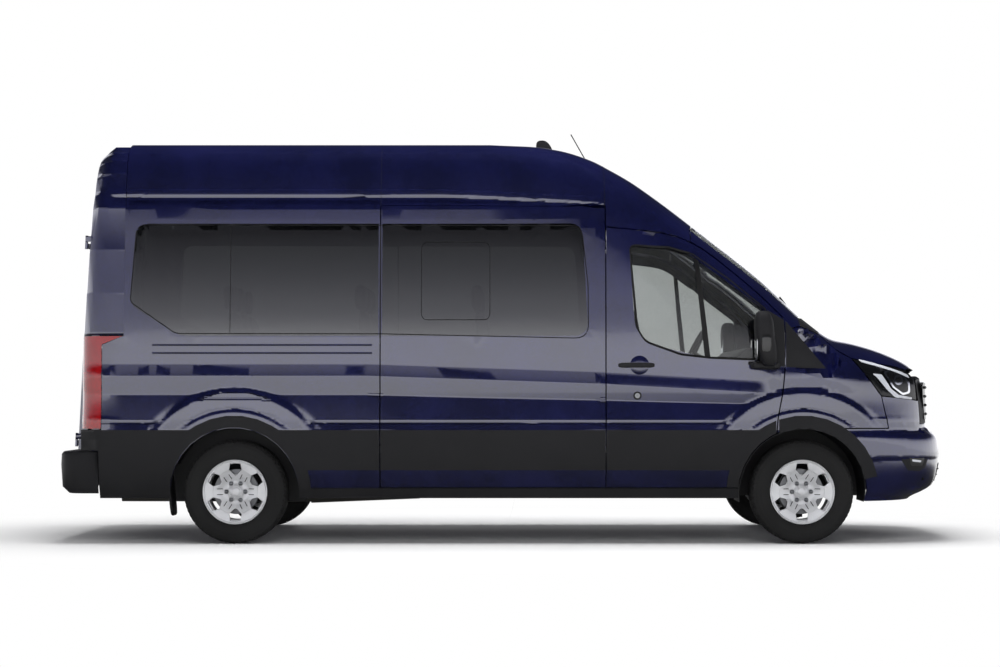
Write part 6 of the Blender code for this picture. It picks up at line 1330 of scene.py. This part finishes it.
def studio_floor(colour):
    """The floor keeps the van's shadow, and away from the van it turns plain white where it is seen."""
    made = finish("studio_floor", colour, 0.02, 0.0, 0.0, 0.9, 0.02)
    tree = made.node_tree
    where = node(tree, "ShaderNodeTexCoord").outputs["Object"]
    shaped = node(tree, "ShaderNodeMapping", {"Vector": where, "Scale": (0.62, 1.0, 1.0)})
    away = node(tree, "ShaderNodeVectorMath", {0: shaped.outputs[0]}, operation="LENGTH").outputs["Value"]
    share = node(tree, "ShaderNodeMapRange", {"Value": away, "From Min": WHITE_FLOOR[0],
                                              "From Max": WHITE_FLOOR[1], "To Min": 0.0, "To Max": 1.0},
                 interpolation_type="SMOOTHSTEP").outputs[0]
    path = node(tree, "ShaderNodeLightPath")
    seen = node(tree, "ShaderNodeMath", {0: path.outputs["Is Camera Ray"],
                                         1: path.outputs["Is Transmission Ray"]}, operation="MAXIMUM")
    part = node(tree, "ShaderNodeMath", {0: seen.outputs[0], 1: share}, operation="MULTIPLY").outputs[0]
    white = node(tree, "ShaderNodeEmission", {"Color": linear("#ffffff"), "Strength": 1.0})
    mix = node(tree, "ShaderNodeMixShader", {0: part, 1: tree.nodes["Principled BSDF"].outputs[0],
                                             2: white.outputs[0]})
    # In gloss the floor is a glowing sheet: dark near the van as a painted shadow, and white further off,
    # which darkens the panels' lower edges
    far = node(tree, "ShaderNodeMapRange", {"Value": away, "From Min": WHITE_GLOSS[0],
                                            "From Max": WHITE_GLOSS[1], "To Min": 0.04, "To Max": 1.2},
               interpolation_type="SMOOTHSTEP").outputs[0]
    painted_floor_in_gloss = node(tree, "ShaderNodeEmission", {"Color": linear("#ffffff"), "Strength": far})
    last = node(tree, "ShaderNodeMixShader", {0: path.outputs["Is Glossy Ray"], 1: mix.outputs[0],
                                              2: painted_floor_in_gloss.outputs[0]})
    tree.links.new(last.outputs[0], tree.nodes["Material Output"].inputs["Surface"])


class MINIBUS_PT_panel(bpy.types.Panel):
    """Lists the minibus's groups of pieces"""
    bl_label = "Minibus"
    bl_idname = "MINIBUS_PT_panel"
    bl_space_type = "VIEW_3D"
    bl_region_type = "UI"
    bl_category = "Minibus"

    def draw(self, context):
        look, sizes = context.scene.minibus_look, context.scene.minibus_sizes
        for group, names in ((look, ("paint", "flake", "wheel", "floor")), (sizes, ("tread",))):
            for name in names:
                self.layout.prop(group, name)
        for operator in OPERATORS:
            self.layout.operator(operator.bl_idname)


OPERATORS = (
    MINIBUS_OT_panels, MINIBUS_OT_mouldings, MINIBUS_OT_glass, MINIBUS_OT_wheels, MINIBUS_OT_lamps,
    MINIBUS_OT_cab, MINIBUS_OT_chassis, MINIBUS_OT_stage,
)
CLASSES = (MinibusLook, MinibusSizes, *OPERATORS, MINIBUS_PT_panel)


def register():
    for one in CLASSES:
        bpy.utils.register_class(one)
    bpy.types.Scene.minibus_look = bpy.props.PointerProperty(type=MinibusLook)
    bpy.types.Scene.minibus_sizes = bpy.props.PointerProperty(type=MinibusSizes)


def unregister():
    del bpy.types.Scene.minibus_look, bpy.types.Scene.minibus_sizes
    for one in reversed(CLASSES):
        bpy.utils.unregister_class(one)


def main():
    """Registers the add-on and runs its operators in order."""
    register()
    make_finishes(finish_look())
    for operator in OPERATORS:
        group, name = operator.bl_idname.split(".")
        getattr(getattr(bpy.ops, group), name)()


if __name__ == "__main__":
    main()
